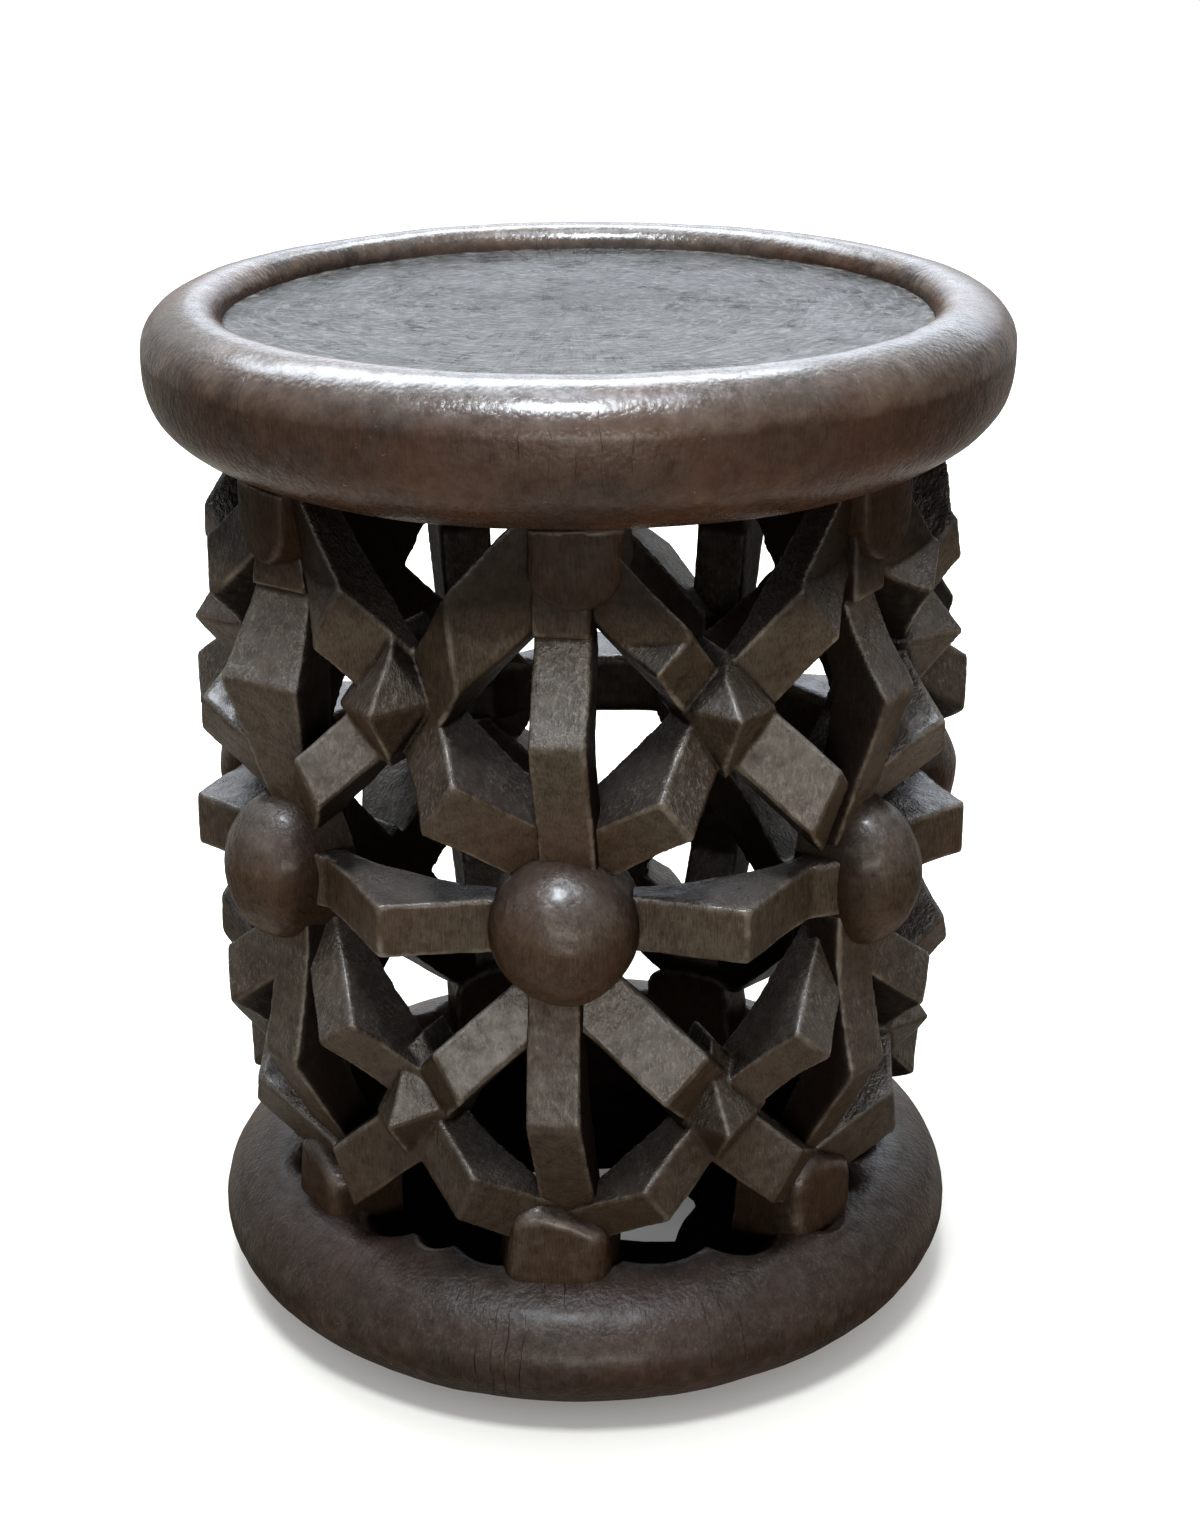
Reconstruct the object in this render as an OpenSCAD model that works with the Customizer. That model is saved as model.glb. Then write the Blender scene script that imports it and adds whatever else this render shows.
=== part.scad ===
// Openwork stool carved from one log: dished seat, pierced lattice wall and ring foot.
// Z is up, the origin is on the floor under the middle, and one column faces -Y.

/* [Overall] */
// Height from the floor to the crest of the seat rim
stool_h = 450; // [420:5:480]

// Radius of the log, at the widest line of the seat
seat_r = 181; // [172:0.5:200]

/* [Seat] */
// Thickness of the seat from its underside to the crest of the rim
seat_t = 66; // [52:1:76]
// Drop from the crest of the rim to its widest line
rim_drop = 19; // [12:0.5:24]
// Distance in from the widest line to the crest
rim_in = 13; // [9:0.5:18]
// Distance in from the crest to the edge of the flat dish floor
rim_slope = 21; // [14:1:36]
// Depth of the dish floor below the crest
dish_depth = 10; // [6:0.5:13]
// Width of the curve under the rim, from the widest line to the flat underside
bowl_w = 62; // [45:1:75]

/* [Base ring] */
// Distance in from the seat's widest line to the ring's
ring_in = 13; // [8:0.5:22]
// Height of the ring
ring_h = 63; // [56:1:72]
// Height of the ring's widest line
ring_wide_z = 32; // [28:1:44]
// Distance in from the widest line to the ring's top line
ring_top_in = 44; // [30:1:48]
// Distance in from the widest line to the edge of the worn foot
ring_foot_in = 53; // [46:1:58]
// How far the hole in the ring's floor lies in from the ring's widest
ring_hole_in = 112; // [100:1:124]
// How far the foot of the ring's inner wall lies in from its widest
ring_bowl_in = 68; // [64:1:76]
// Distance in from the widest line to the hole's carved upper edge
ring_lip_in = 39; // [37:1:50]
// Height of the foot of the inner wall
ring_wall_z = 30; // [20:1:44]
// Thickness of the ring's floor at its hole
ring_floor_z = 14; // [8:1:18]

/* [Lattice wall] */
// Distance in from the seat's widest line to that of the barrel shape that the ridges and knobs reach
barrel_in = 13; // [8:0.5:19]
// Height of the barrel's widest line
barrel_z = 248; // [235:1:262]
// How much narrower the barrel is at the height of the ring's top
barrel_draw = 25; // [12:1:28]
// Distance in from the barrel's widest line to the struts' outer faces where they meet the bosses and knobs
valley_in = 24; // [20:1:30]
// Distance in from the barrel's widest line to the struts' outer faces at the foot bosses
foot_valley_in = 39; // [31:1:43]
// Distance in from the barrel's widest line to the hollow inside the lattice
wall_t = 49; // [46:1:56]
// Width of the upright posts
post_w = 24; // [18:1:28]
// Width of the slanting arms
arm_w = 24; // [17:1:27]
// Height of the bars round the waist
waist_h = 23; // [17:1:26]

/* [Knobs] */
// Half the width of a knob
knob_half_w = 17; // [13:0.5:20]
// Half the height of a knob
knob_half_h = 24.5; // [19:0.5:28]
// How far the upper knobs stand above the middle of their tier
upper_knob_rise = 12; // [0:0.5:16]
// How far the lower knobs stand below the middle of their tier
lower_knob_drop = 11; // [0:0.5:18]

/* [Upper bosses] */
// Radius of an upper boss
upper_boss_r = 16.5; // [14:0.5:22]
// Distance of an upper boss's centre below the underside of the seat
upper_boss_drop = 8; // [5:0.5:12]
// How far the rim of an upper boss stands out of the struts' outer faces
upper_boss_proud = 8; // [1:0.5:9]
// Rise of the slight dome on an upper boss
upper_boss_dome = 3; // [1:0.5:6]

/* [Middle bosses] */
// Height of the middle bosses' centres above the floor
middle_boss_z = 226; // [215:1:240]
// Radius of a middle boss
middle_boss_r = 30.5; // [25:0.5:33]
// How far the rim of a middle boss stands out of the struts' outer faces
middle_boss_proud = 9; // [3:0.5:14]
// Rise of the dome on a middle boss
middle_boss_dome = 18; // [10:0.5:24]

/* [Foot bosses] */
// Width of a foot boss
foot_boss_w = 43; // [34:1:50]
// Height of a foot boss above the top of the ring
foot_boss_rise = 27; // [18:1:32]
// Depth to which a foot boss is let into the ring
foot_boss_sink = 16; // [10:1:24]
// Distance in from the ring's widest line to the front of a foot boss
foot_boss_set = 28; // [24:0.5:32]
// Size of the worn corners of a foot boss
foot_boss_corner = 10; // [5:0.5:14]

/* [Hidden] */
COLUMNS = 7;
PITCH = 360 / COLUMNS;
ROUND_STEPS = 10;
FINE = 96;

MEMBERS = ["upper_boss", "middle_boss", "foot_boss", "upper_post", "lower_post",
           "waist_bar", "upper_cross", "lower_cross"];

WOOD = "#4a3229";
WOOD_DARK = "#33241e";
WOOD_WORN = "#5d4033";

// Seat heights and radii
underside_z = stool_h - seat_t;
widest_z = stool_h - rim_drop;
dish_z = stool_h - dish_depth;
crest_r = seat_r - rim_in;
bowl_r = seat_r - bowl_w;
dish_r = crest_r - rim_slope;

// Ring radii
ring_r = seat_r - ring_in;
ring_hole_r = ring_r - ring_hole_in;
ring_bowl_r = ring_r - ring_bowl_in;
ring_lip_r = ring_r - ring_lip_in;
ring_top_r = ring_r - ring_top_in;
ring_foot_r = ring_r - ring_foot_in;
lip_turn = acos((ring_lip_r - ring_top_r) / ring_top_in);

// Lattice radii
barrel_r = seat_r - barrel_in;
valley_r = barrel_r - valley_in;
foot_valley_r = barrel_r - foot_valley_in;
core_r = barrel_r - wall_t;

// Boss heights and reaches
upper_boss_z = underside_z - upper_boss_drop;
foot_boss_top = ring_h + foot_boss_rise;
foot_boss_bottom = ring_h - foot_boss_sink;
foot_boss_z = (foot_boss_top + foot_boss_bottom) / 2;
foot_boss_out = ring_r - foot_boss_set;
upper_boss_out = valley_r + upper_boss_proud;
middle_boss_out = valley_r + middle_boss_proud;

// Radius at which each member starts, before the hollow cuts it off
ROOT_SHARE = 0.8;
root_r = ROOT_SHARE * core_r;

// Radius of the barrel at height z
function barrel_at(z) = barrel_r - barrel_draw * pow((z - barrel_z) / (barrel_z - ring_h), 2);

// Heights of the posts' ridges and of the knobs
upper_ridge_z = (upper_boss_z - upper_boss_r + middle_boss_z + middle_boss_r) / 2;
lower_ridge_z = (middle_boss_z - middle_boss_r + foot_boss_top) / 2;
upper_knob_z = (upper_boss_z + middle_boss_z) / 2 + upper_knob_rise;
lower_knob_z = (middle_boss_z + foot_boss_z) / 2 - lower_knob_drop;

// Heights at which the arms' centre lines meet a column's middle line, off the bosses' centres or tops
UPPER_BOSS_SHARE = 1.1;
MIDDLE_BOSS_SHARE = 0.75;
FOOT_BOSS_SHARE = 0.3;
upper_arm_top = upper_boss_z + UPPER_BOSS_SHARE * upper_boss_r;
upper_arm_foot = middle_boss_z + MIDDLE_BOSS_SHARE * middle_boss_r;
lower_arm_top = middle_boss_z - MIDDLE_BOSS_SHARE * middle_boss_r;
lower_arm_foot = foot_boss_top - FOOT_BOSS_SHARE * foot_boss_rise;

// Places along an arm, as shares of the length beyond the knob, of its ridge and of its flat end
RIDGE_SHARE = 0.39;
END_SHARE = 0.78;
// Share of a knob's half width that its arms' faces keep clear
KNOB_SHARE = 0.8;
// Share of a middle boss's radius at which the waist bars' faces turn level
COLLAR_SHARE = 0.8;

// Points of a quarter ellipse about [x, y], from angle a to angle b
function arc(x, y, rx, ry, a, b) =
    [for (i = [0:ROUND_STEPS]) let (t = a + (b - a) * i / ROUND_STEPS) [x + rx * cos(t), y + ry * sin(t)]];

// Depth, in a cell's own plane, of a point at radius r that lies u to one side of the cell's middle
function depth_at(r, u) = sqrt(r * r - u * u);

// Sideways distance from a cell's middle to the column beside it, at radius r
function column_u(r) = r * sin(PITCH / 2);

module at_column(k) rotate([0, 0, (k - 1) * PITCH]) children();
module at_cell(k) rotate([0, 0, (k - 0.5) * PITCH]) children();

// A strut whose side outline is given as [distance along it, radius], turned up from level by angle
module strut(outline, width, z, angle) {
    translate([0, 0, z])
        rotate([0, -angle, 0])
            linear_extrude(height = width, center = true)
                polygon([for (p = outline) [p[0], -p[1]]]);
}

// The round hollow inside the lattice
module hollow() cylinder(r = core_r, h = stool_h, $fn = FINE);

// The wedge of space between two neighbouring columns
module cell_space() {
    reach = 2 * barrel_r;
    side = reach * sin(PITCH / 2);
    front = reach * cos(PITCH / 2);
    linear_extrude(height = stool_h)
        polygon([[0, 0], [-side, -front], [side, -front]]);
}

module seat_body() {
    rotate_extrude($fn = FINE)
        polygon(concat(
            [[0, underside_z]],
            arc(bowl_r, widest_z, bowl_w, widest_z - underside_z, -90, 0),
            arc(crest_r, widest_z, rim_in, rim_drop, 0, 90),
            [[0, stool_h]]));
}

module seat_dish() {
    color(WOOD)
        rotate_extrude($fn = FINE)
            polygon(concat(
                [[0, underside_z]],
                arc(bowl_r, widest_z, bowl_w, widest_z - underside_z, -90, 0),
                [[dish_r, widest_z], [dish_r, dish_z], [0, dish_z]]));
}

module seat_rim() {
    color(WOOD_WORN)
        rotate_extrude($fn = FINE)
            polygon(concat(
                arc(crest_r, widest_z, rim_in, rim_drop, 0, 90),
                arc(crest_r, dish_z, crest_r - dish_r, dish_depth, 90, 180),
                [[dish_r, widest_z]]));
}

module base_ring() {
    color(WOOD)
        rotate_extrude($fn = FINE)
            polygon(concat(
                [[ring_hole_r, 0]],
                arc(ring_foot_r, ring_wide_z, ring_foot_in, ring_wide_z, -90, 0),
                arc(ring_top_r, ring_wide_z, ring_top_in, ring_h - ring_wide_z, 0, lip_turn),
                [[ring_bowl_r, ring_wall_z], [ring_hole_r, ring_floor_z]]));
}

// A round boss on a level axis, with a domed face: its radius, the reach of its rim and its dome's rise
module round_boss(z, r, out, dome) {
    ball_r = (r * r + dome * dome) / (2 * dome);
    translate([0, 0, z])
        rotate([90, 0, 0])
            intersection() {
                translate([0, 0, root_r])
                    cylinder(r = r, h = out + dome - root_r, $fn = FINE);
                translate([0, 0, out + dome - ball_r])
                    sphere(r = ball_r, $fn = FINE);
            }
}

module upper_boss_body() round_boss(upper_boss_z, upper_boss_r, upper_boss_out, upper_boss_dome);
module middle_boss_body() round_boss(middle_boss_z, middle_boss_r, middle_boss_out, middle_boss_dome);

// A block with worn corners, let into the ring
module foot_boss_body() {
    half = foot_boss_w / 2;
    c = foot_boss_corner;
    rotate([90, 0, 0])
        translate([0, 0, root_r])
            linear_extrude(height = foot_boss_out - root_r)
                polygon([
                    [-half, foot_boss_bottom], [half, foot_boss_bottom],
                    [half, foot_boss_top - c], [half - c, foot_boss_top],
                    [c - half, foot_boss_top], [-half, foot_boss_top - c]]);
}

module upper_post_body() {
    high = upper_boss_z - upper_ridge_z;
    low = upper_ridge_z - middle_boss_z;
    strut([[-low, root_r], [-low, valley_r], [middle_boss_r - low, valley_r], [0, barrel_at(upper_ridge_z)],
           [high - upper_boss_r, valley_r], [high, valley_r], [high, root_r]],
          post_w, upper_ridge_z, 90);
}

module lower_post_body() {
    high = middle_boss_z - lower_ridge_z;
    low = lower_ridge_z - foot_boss_z;
    foot = lower_ridge_z - foot_boss_top;
    strut([[-low, root_r], [-low, foot_valley_r], [-foot, foot_valley_r], [0, barrel_at(lower_ridge_z)],
           [high - middle_boss_r, valley_r], [high, valley_r], [high, root_r]],
          post_w, lower_ridge_z, 90);
}

module waist_bar_body() {
    end = column_u(barrel_r);
    dip = column_u(valley_r) - COLLAR_SHARE * middle_boss_r;
    face = depth_at(valley_r, dip);
    strut([[-end, root_r], [-end, face], [-dip, face], [0, barrel_at(middle_boss_z)],
           [dip, face], [end, face], [end, root_r]],
          waist_h, middle_boss_z, 0);
}

// One slanting arm from a knob at height z to a column, which its centre line meets at height end_z
module arm(z, end_z, end_r, side) {
    run = column_u(valley_r);
    rise = end_z - z;
    angle = atan2(rise, run);
    length = norm([run, rise]);
    start = KNOB_SHARE * knob_half_w;
    ridge = start + (length - start) * RIDGE_SHARE;
    stop = start + (length - start) * END_SHARE;
    outline = [
        [0, root_r],
        [0, valley_r],
        [start, depth_at(valley_r, start * cos(angle))],
        [ridge, depth_at(barrel_at(z + ridge * sin(angle)), ridge * cos(angle))],
        [stop, depth_at(end_r, stop * cos(angle))],
        [length, depth_at(end_r, length * cos(angle))],
        [length, root_r]];
    mirror([side < 0 ? 1 : 0, 0, 0])
        strut(outline, arm_w, z, angle);
}

// The four-sided point carved where two arms cross: two ridged bars whose ridges meet in one point
module knob(z) {
    diagonal = norm([knob_half_w, knob_half_h]);
    side = knob_half_w * knob_half_h / diagonal;
    lean = atan2(knob_half_w, knob_half_h);
    outline = [[-side, root_r], [-side, valley_r], [0, barrel_at(z)], [side, valley_r], [side, root_r]];
    intersection() {
        strut(outline, 2 * diagonal, z, lean);
        strut(outline, 2 * diagonal, z, -lean);
    }
}

// The bosses on the columns at both sides of a cell, and the posts' full width out to any depth
module cell_neighbours() {
    for (side = [-1, 1])
        rotate([0, 0, side * PITCH / 2]) {
            upper_boss_body();
            middle_boss_body();
            foot_boss_body();
            translate([-post_w / 2, -2 * barrel_r, 0])
                cube([post_w, 2 * barrel_r, stool_h]);
        }
}

module upper_boss(k) {
    color(WOOD_DARK)
        at_column(k)
            difference() {
                upper_boss_body();
                seat_body();
                hollow();
            }
}

module middle_boss(k) {
    color(WOOD_WORN)
        at_column(k)
            difference() {
                middle_boss_body();
                hollow();
            }
}

module foot_boss(k) {
    color(WOOD)
        at_column(k)
            difference() {
                foot_boss_body();
                base_ring();
                hollow();
            }
}

module upper_post(k) {
    color(WOOD)
        at_column(k)
            difference() {
                upper_post_body();
                upper_boss_body();
                middle_boss_body();
                hollow();
            }
}

module lower_post(k) {
    color(WOOD)
        at_column(k)
            difference() {
                lower_post_body();
                middle_boss_body();
                foot_boss_body();
                hollow();
            }
}

module waist_bar(k) {
    color(WOOD)
        at_cell(k)
            difference() {
                intersection() {
                    waist_bar_body();
                    cell_space();
                }
                for (side = [-1, 1])
                    rotate([0, 0, side * PITCH / 2])
                        middle_boss_body();
                hollow();
            }
}

// The crossed arms and knob that fill one cell of a tier
module cross(knob_z, top_z, foot_z, foot_r) {
    difference() {
        intersection() {
            union() {
                for (side = [-1, 1]) {
                    arm(knob_z, top_z, valley_r, side);
                    arm(knob_z, foot_z, foot_r, side);
                }
                knob(knob_z);
            }
            cell_space();
        }
        cell_neighbours();
        waist_bar_body();
        seat_body();
        base_ring();
        hollow();
    }
}

module upper_cross(k) {
    color(WOOD_DARK)
        at_cell(k)
            cross(upper_knob_z, upper_arm_top, upper_arm_foot, valley_r);
}

module lower_cross(k) {
    color(WOOD_DARK)
        at_cell(k)
            cross(lower_knob_z, lower_arm_top, lower_arm_foot, foot_valley_r);
}

seat_dish();
seat_rim();
base_ring();
for (k = [1:COLUMNS]) upper_boss(k);
for (k = [1:COLUMNS]) middle_boss(k);
for (k = [1:COLUMNS]) foot_boss(k);
for (k = [1:COLUMNS]) upper_post(k);
for (k = [1:COLUMNS]) lower_post(k);
for (k = [1:COLUMNS]) waist_bar(k);
for (k = [1:COLUMNS]) upper_cross(k);
for (k = [1:COLUMNS]) lower_cross(k);
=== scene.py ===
import math

import bmesh
import bpy
import numpy as np
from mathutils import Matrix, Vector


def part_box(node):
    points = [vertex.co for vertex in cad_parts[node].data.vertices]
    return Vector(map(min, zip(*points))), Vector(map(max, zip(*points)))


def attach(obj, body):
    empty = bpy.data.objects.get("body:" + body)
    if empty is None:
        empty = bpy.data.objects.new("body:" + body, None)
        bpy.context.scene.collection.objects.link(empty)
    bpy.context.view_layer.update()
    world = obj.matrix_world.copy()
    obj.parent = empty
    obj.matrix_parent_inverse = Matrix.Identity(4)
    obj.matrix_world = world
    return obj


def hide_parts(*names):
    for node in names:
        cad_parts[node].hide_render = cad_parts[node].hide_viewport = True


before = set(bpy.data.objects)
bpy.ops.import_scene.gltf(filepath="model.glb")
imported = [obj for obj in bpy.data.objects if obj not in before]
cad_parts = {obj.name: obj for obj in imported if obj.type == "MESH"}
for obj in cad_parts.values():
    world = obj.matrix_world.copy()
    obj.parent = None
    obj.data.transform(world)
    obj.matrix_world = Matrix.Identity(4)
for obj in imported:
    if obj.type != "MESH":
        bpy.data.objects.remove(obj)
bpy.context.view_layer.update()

import openvdb
from mathutils import Matrix, Vector

mm = 0.001
seed = 7


# What the frame says about the stool

columnCount = sum(name.startswith("middle_boss_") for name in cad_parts)
columns = range(1, columnCount + 1)
pitch = 2 * math.pi / columnCount
columnAngles = {k: (k - 1) * pitch for k in columns}
cellAngles = {k: (k - 0.5) * pitch for k in columns}  # a cell lies between two columns

rimLow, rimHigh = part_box("seat_rim")
dishLow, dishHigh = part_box("seat_dish")
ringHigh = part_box("base_ring")[1]
bossLow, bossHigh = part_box("middle_boss_1")

stool = {
    "seatR": rimHigh.x,
    "crestZ": rimHigh.z,
    "widestZ": rimLow.z,
    "floorZ": dishHigh.z,
    "undersideZ": dishLow.z,
    "ringR": ringHigh.x,
    "ringTop": ringHigh.z,
    "waistZ": (bossLow.z + bossHigh.z) / 2,
}
print("frame read:", columnCount, "columns,", round(stool["crestZ"] / mm), "mm high")


# Carving: solids as signed distances on a grid, below zero in the wood.
# u runs sideways along the wall, d out from the stool's axis, and z up.

def roundedMax(a, b, radius):  # where both hold, with the arris between them worn round
    overlap = np.maximum(radius - np.abs(a - b), 0) / radius
    return np.maximum(a, b) + overlap * overlap * radius / 4


def roundedMin(a, b, radius):  # either of the two, with the crease between them softened
    return -roundedMax(-a, -b, radius)


def softAbs(a, radius):
    return np.sqrt(a * a + radius * radius) - radius


def hump(t, start, end):  # 1 halfway between start and end, and 0 at both and beyond
    return np.maximum(1 - ((2 * t - start - end) / (end - start)) ** 2, 0)


def fromAxis(u, d):
    return np.sqrt(u * u + d * d)


def makeGrid(low, high, step):
    axes = [np.arange(a, b + step, step, dtype=np.float32) for a, b in zip(low, high)]
    return np.meshgrid(*axes, indexing="ij", sparse=True)


def ripple(u, d, z, size, draw, waves=4):  # a slow unevenness between about -1 and 1
    total = 0
    for _ in range(waves):
        way = draw.normal(size=3)
        way = way / np.linalg.norm(way) * 2 * math.pi / (size * draw.uniform(0.7, 1.5))
        total = total + np.sin(u * way[0] + d * way[1] + z * way[2] + draw.uniform(0, 6.3))
    return total / 3


def turned(points, angle):  # from sideways, depth and height to the stool's own axes
    u, d, z = points.T
    c, s = math.cos(angle), math.sin(angle)
    return np.stack([u * c + d * s, u * s - d * c, z], 1)


def signedVolume(points, quads):
    a, b, c, d = (points[quads[:, i]] for i in range(4))
    return np.einsum("ij,ij->i", a, np.cross(b, c) + np.cross(c, d)).sum()


def newObject(name, points, quads):
    if signedVolume(points, quads) < 0:
        quads = quads[:, ::-1]
    mesh = bpy.data.meshes.new(name)
    mesh.from_pydata(points.tolist(), [], quads.tolist())
    mesh.shade_smooth()
    obj = bpy.data.objects.new(name, mesh)
    bpy.context.scene.collection.objects.link(obj)
    return obj


def meshFromField(field, low, step):
    grid = openvdb.FloatGrid(1.0)
    grid.copyFromArray(np.ascontiguousarray(field, dtype=np.float32))
    points, quads = grid.convertToQuads(isovalue=0.0)
    return points.astype(np.float64) * step + np.array(low), quads.astype(np.int64)


# Node helpers

def newTree(kind, name, inputs, outputs):
    tree = bpy.data.node_groups.new(name, kind)
    for label, socket, value in inputs:
        made = tree.interface.new_socket(label, in_out="INPUT", socket_type="NodeSocket" + socket)
        if value is not None:
            made.default_value = value
    for label, socket in outputs:
        tree.interface.new_socket(label, in_out="OUTPUT", socket_type="NodeSocket" + socket)
    return tree, tree.nodes.new("NodeGroupInput").outputs, tree.nodes.new("NodeGroupOutput")


def inputsFor(values):
    return [(name, "Color" if isinstance(value, tuple) else "Float", value)
            for name, value in values.items()]


def feed(tree, node, values):
    for key, value in values.items():
        if isinstance(value, bpy.types.NodeSocket):
            tree.links.new(value, node.inputs[key])
        else:
            node.inputs[key].default_value = value
    return node.outputs


def put(tree, kind, values=None, **settings):
    node = tree.nodes.new(kind)
    for key, value in settings.items():
        setattr(node, key, value)
    return feed(tree, node, values or {})


def compute(tree, operation, a, b=0.0):
    return put(tree, "ShaderNodeMath", {0: a, 1: b}, operation=operation)[0]


def plus(tree, total, *others):
    for other in others:
        total = compute(tree, "ADD", total, other)
    return total


def minus(tree, a, b):
    return compute(tree, "SUBTRACT", a, b)


def times(tree, product, *others):
    for other in others:
        product = compute(tree, "MULTIPLY", product, other)
    return product


def larger(tree, a, b):
    return compute(tree, "MAXIMUM", a, b)


def weighed(tree, *parts):  # the sum of values, each times its weight
    return plus(tree, *[times(tree, value, weight) for value, weight in parts])


def vectorMath(tree, operation, a, b=(0.0, 0.0, 0.0)):
    made = put(tree, "ShaderNodeVectorMath", {0: a, 1: b}, operation=operation)
    return made["Value" if operation in ("LENGTH", "DOT_PRODUCT") else "Vector"]


def scaled(tree, vector, scale):
    return put(tree, "ShaderNodeVectorMath", {0: vector, "Scale": scale}, operation="SCALE")[0]


def axesOf(tree, vector):
    return put(tree, "ShaderNodeSeparateXYZ", {0: vector})


def blend(tree, factor, a, b):
    return put(tree, "ShaderNodeMix", {0: factor, 6: a, 7: b}, data_type="RGBA")[2]


def layered(tree, color, layers):  # each layer is a mask, how strong it is, and its colour
    for mask, share, layer in layers:
        color = blend(tree, times(tree, mask, share), color, layer)
    return color


def remap(tree, value, low, high, toLow=0.0, toHigh=1.0):
    return put(tree, "ShaderNodeMapRange", {
        "Value": value, "From Min": low, "From Max": high, "To Min": toLow, "To Max": toHigh})[0]


def noise(tree, vector, scale, detail=3.0, roughness=0.55):
    return put(tree, "ShaderNodeTexNoise", {
        "Vector": vector, "Scale": scale, "Detail": detail, "Roughness": roughness})[0]


def stretched(tree, vector, scale):
    return put(tree, "ShaderNodeMapping", {"Vector": vector, "Scale": scale})[0]


def bumped(tree, strength, distance, height):
    return put(tree, "ShaderNodeBump", {
        "Strength": strength, "Distance": distance, "Height": height})[0]


# Geometry Nodes: the adze's unevenness, and members repeated round the stool

surface = {
    "Wave Height": 0.4 * mm,   # slow waves left by the adze
    "Wave Size": 24 * mm,
    "Mark Height": 0.12 * mm,  # small marks of the knife
    "Mark Size": 5 * mm,
    "Seed": 0.0,
}
surfaceInputs = [*inputsFor(surface), ("Material", "Material", None)]


def handCarvedTree():
    tree, into, out = newTree("GeometryNodeTree", "handCarved",
                              [("Geometry", "Geometry", None), *surfaceInputs],
                              [("Geometry", "Geometry")])
    place = put(tree, "GeometryNodeInputPosition")[0]
    heights = []
    for kind in ("Wave", "Mark"):
        rough = put(tree, "ShaderNodeTexNoise", {
            "Vector": place, "W": into["Seed"], "Detail": 1.5,
            "Scale": compute(tree, "DIVIDE", 1.0, into[f"{kind} Size"])}, noise_dimensions="4D")[0]
        # noise strays about a quarter from its middle, each way
        heights.append(times(tree, minus(tree, rough, 0.5), into[f"{kind} Height"], 4.0))
    offset = scaled(tree, put(tree, "GeometryNodeInputNormal")[0], plus(tree, *heights))
    moved = put(tree, "GeometryNodeSetPosition",
                {"Geometry": into["Geometry"], "Offset": offset})[0]
    real = put(tree, "GeometryNodeRealizeInstances", {"Geometry": moved})[0]
    dressed = put(tree, "GeometryNodeSetMaterial",
                  {"Geometry": real, "Material": into["Material"]})[0]
    feed(tree, out, {0: dressed})
    return tree


handCarved = handCarvedTree()


def roundTheStoolTree():
    tree, into, out = newTree(
        "GeometryNodeTree", "roundTheStool",
        [("Geometry", "Geometry", None), ("Member", "Object", None), *surfaceInputs],
        [("Geometry", "Geometry")])
    member = put(tree, "GeometryNodeObjectInfo", {"Object": into["Member"]})["Geometry"]
    turn, grow = (put(tree, "GeometryNodeInputNamedAttribute", {"Name": name},
                      data_type="FLOAT_VECTOR")[0] for name in ("turn", "grow"))
    placed = put(tree, "GeometryNodeInstanceOnPoints", {
        "Points": into["Geometry"], "Instance": member, "Rotation": turn, "Scale": grow})[0]
    real = put(tree, "GeometryNodeRealizeInstances", {"Geometry": placed})[0]
    carve = tree.nodes.new("GeometryNodeGroup")
    carve.node_tree = handCarved
    feed(tree, carve, {"Geometry": real, **{name: into[name] for name in [*surface, "Material"]}})
    feed(tree, out, {0: carve.outputs[0]})
    return tree


roundTheStool = roundTheStoolTree()


def growMesh(obj, tree, values):  # the tree's result becomes the object's plain mesh
    modifier = obj.modifiers.new(tree.name, "NODES")
    modifier.node_group = tree
    for item in tree.interface.items_tree:
        if item.item_type == "SOCKET" and item.in_out == "INPUT" and item.name in values:
            modifier[item.identifier] = values[item.name]
    depsgraph = bpy.context.evaluated_depsgraph_get()
    grown = bpy.data.meshes.new_from_object(obj.evaluated_get(depsgraph), depsgraph=depsgraph)
    obj.modifiers.remove(modifier)
    grown.name = obj.name
    obj.data = grown


wear = {
    "rounds": 5,          # how far round a point the surface is evened out to compare
    "reach": 0.34 * mm,   # standing out by this much is fully worn, and lit by a painted highlight
}


def readPoints(mesh):
    points = np.empty(len(mesh.vertices) * 3)
    mesh.vertices.foreach_get("co", points)
    return points.reshape(-1, 3)


def storeWear(mesh):  # how far each point stands out of what lies round it
    count = len(mesh.vertices)
    points = readPoints(mesh)
    normals = np.empty(count * 3, dtype=np.float32)
    mesh.vertex_normals.foreach_get("vector", normals)
    edges = np.empty(len(mesh.edges) * 2, dtype=np.int32)
    mesh.edges.foreach_get("vertices", edges)
    a, b = edges.reshape(-1, 2).T
    degree = np.maximum(np.bincount(a, minlength=count) + np.bincount(b, minlength=count), 1)
    smooth = points.copy()
    for _ in range(wear["rounds"]):
        for i in range(3):
            total = np.bincount(a, smooth[b, i], count) + np.bincount(b, smooth[a, i], count)
            smooth[:, i] = (smooth[:, i] + total / degree) / 2
    bulge = ((points - smooth) * normals.reshape(-1, 3)).sum(1) / wear["reach"]
    for name, values in (("worn", bulge), ("hollow", -bulge)):
        layer = mesh.attributes.new(name, "FLOAT", "POINT")
        layer.data.foreach_set("value", np.clip(values, 0, 1).astype(np.float32))


def finishPiece(piece, nodes):
    storeWear(piece.data)
    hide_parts(*nodes)
    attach(piece, "root")


# Materials. Noise scales are per metre.

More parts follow.
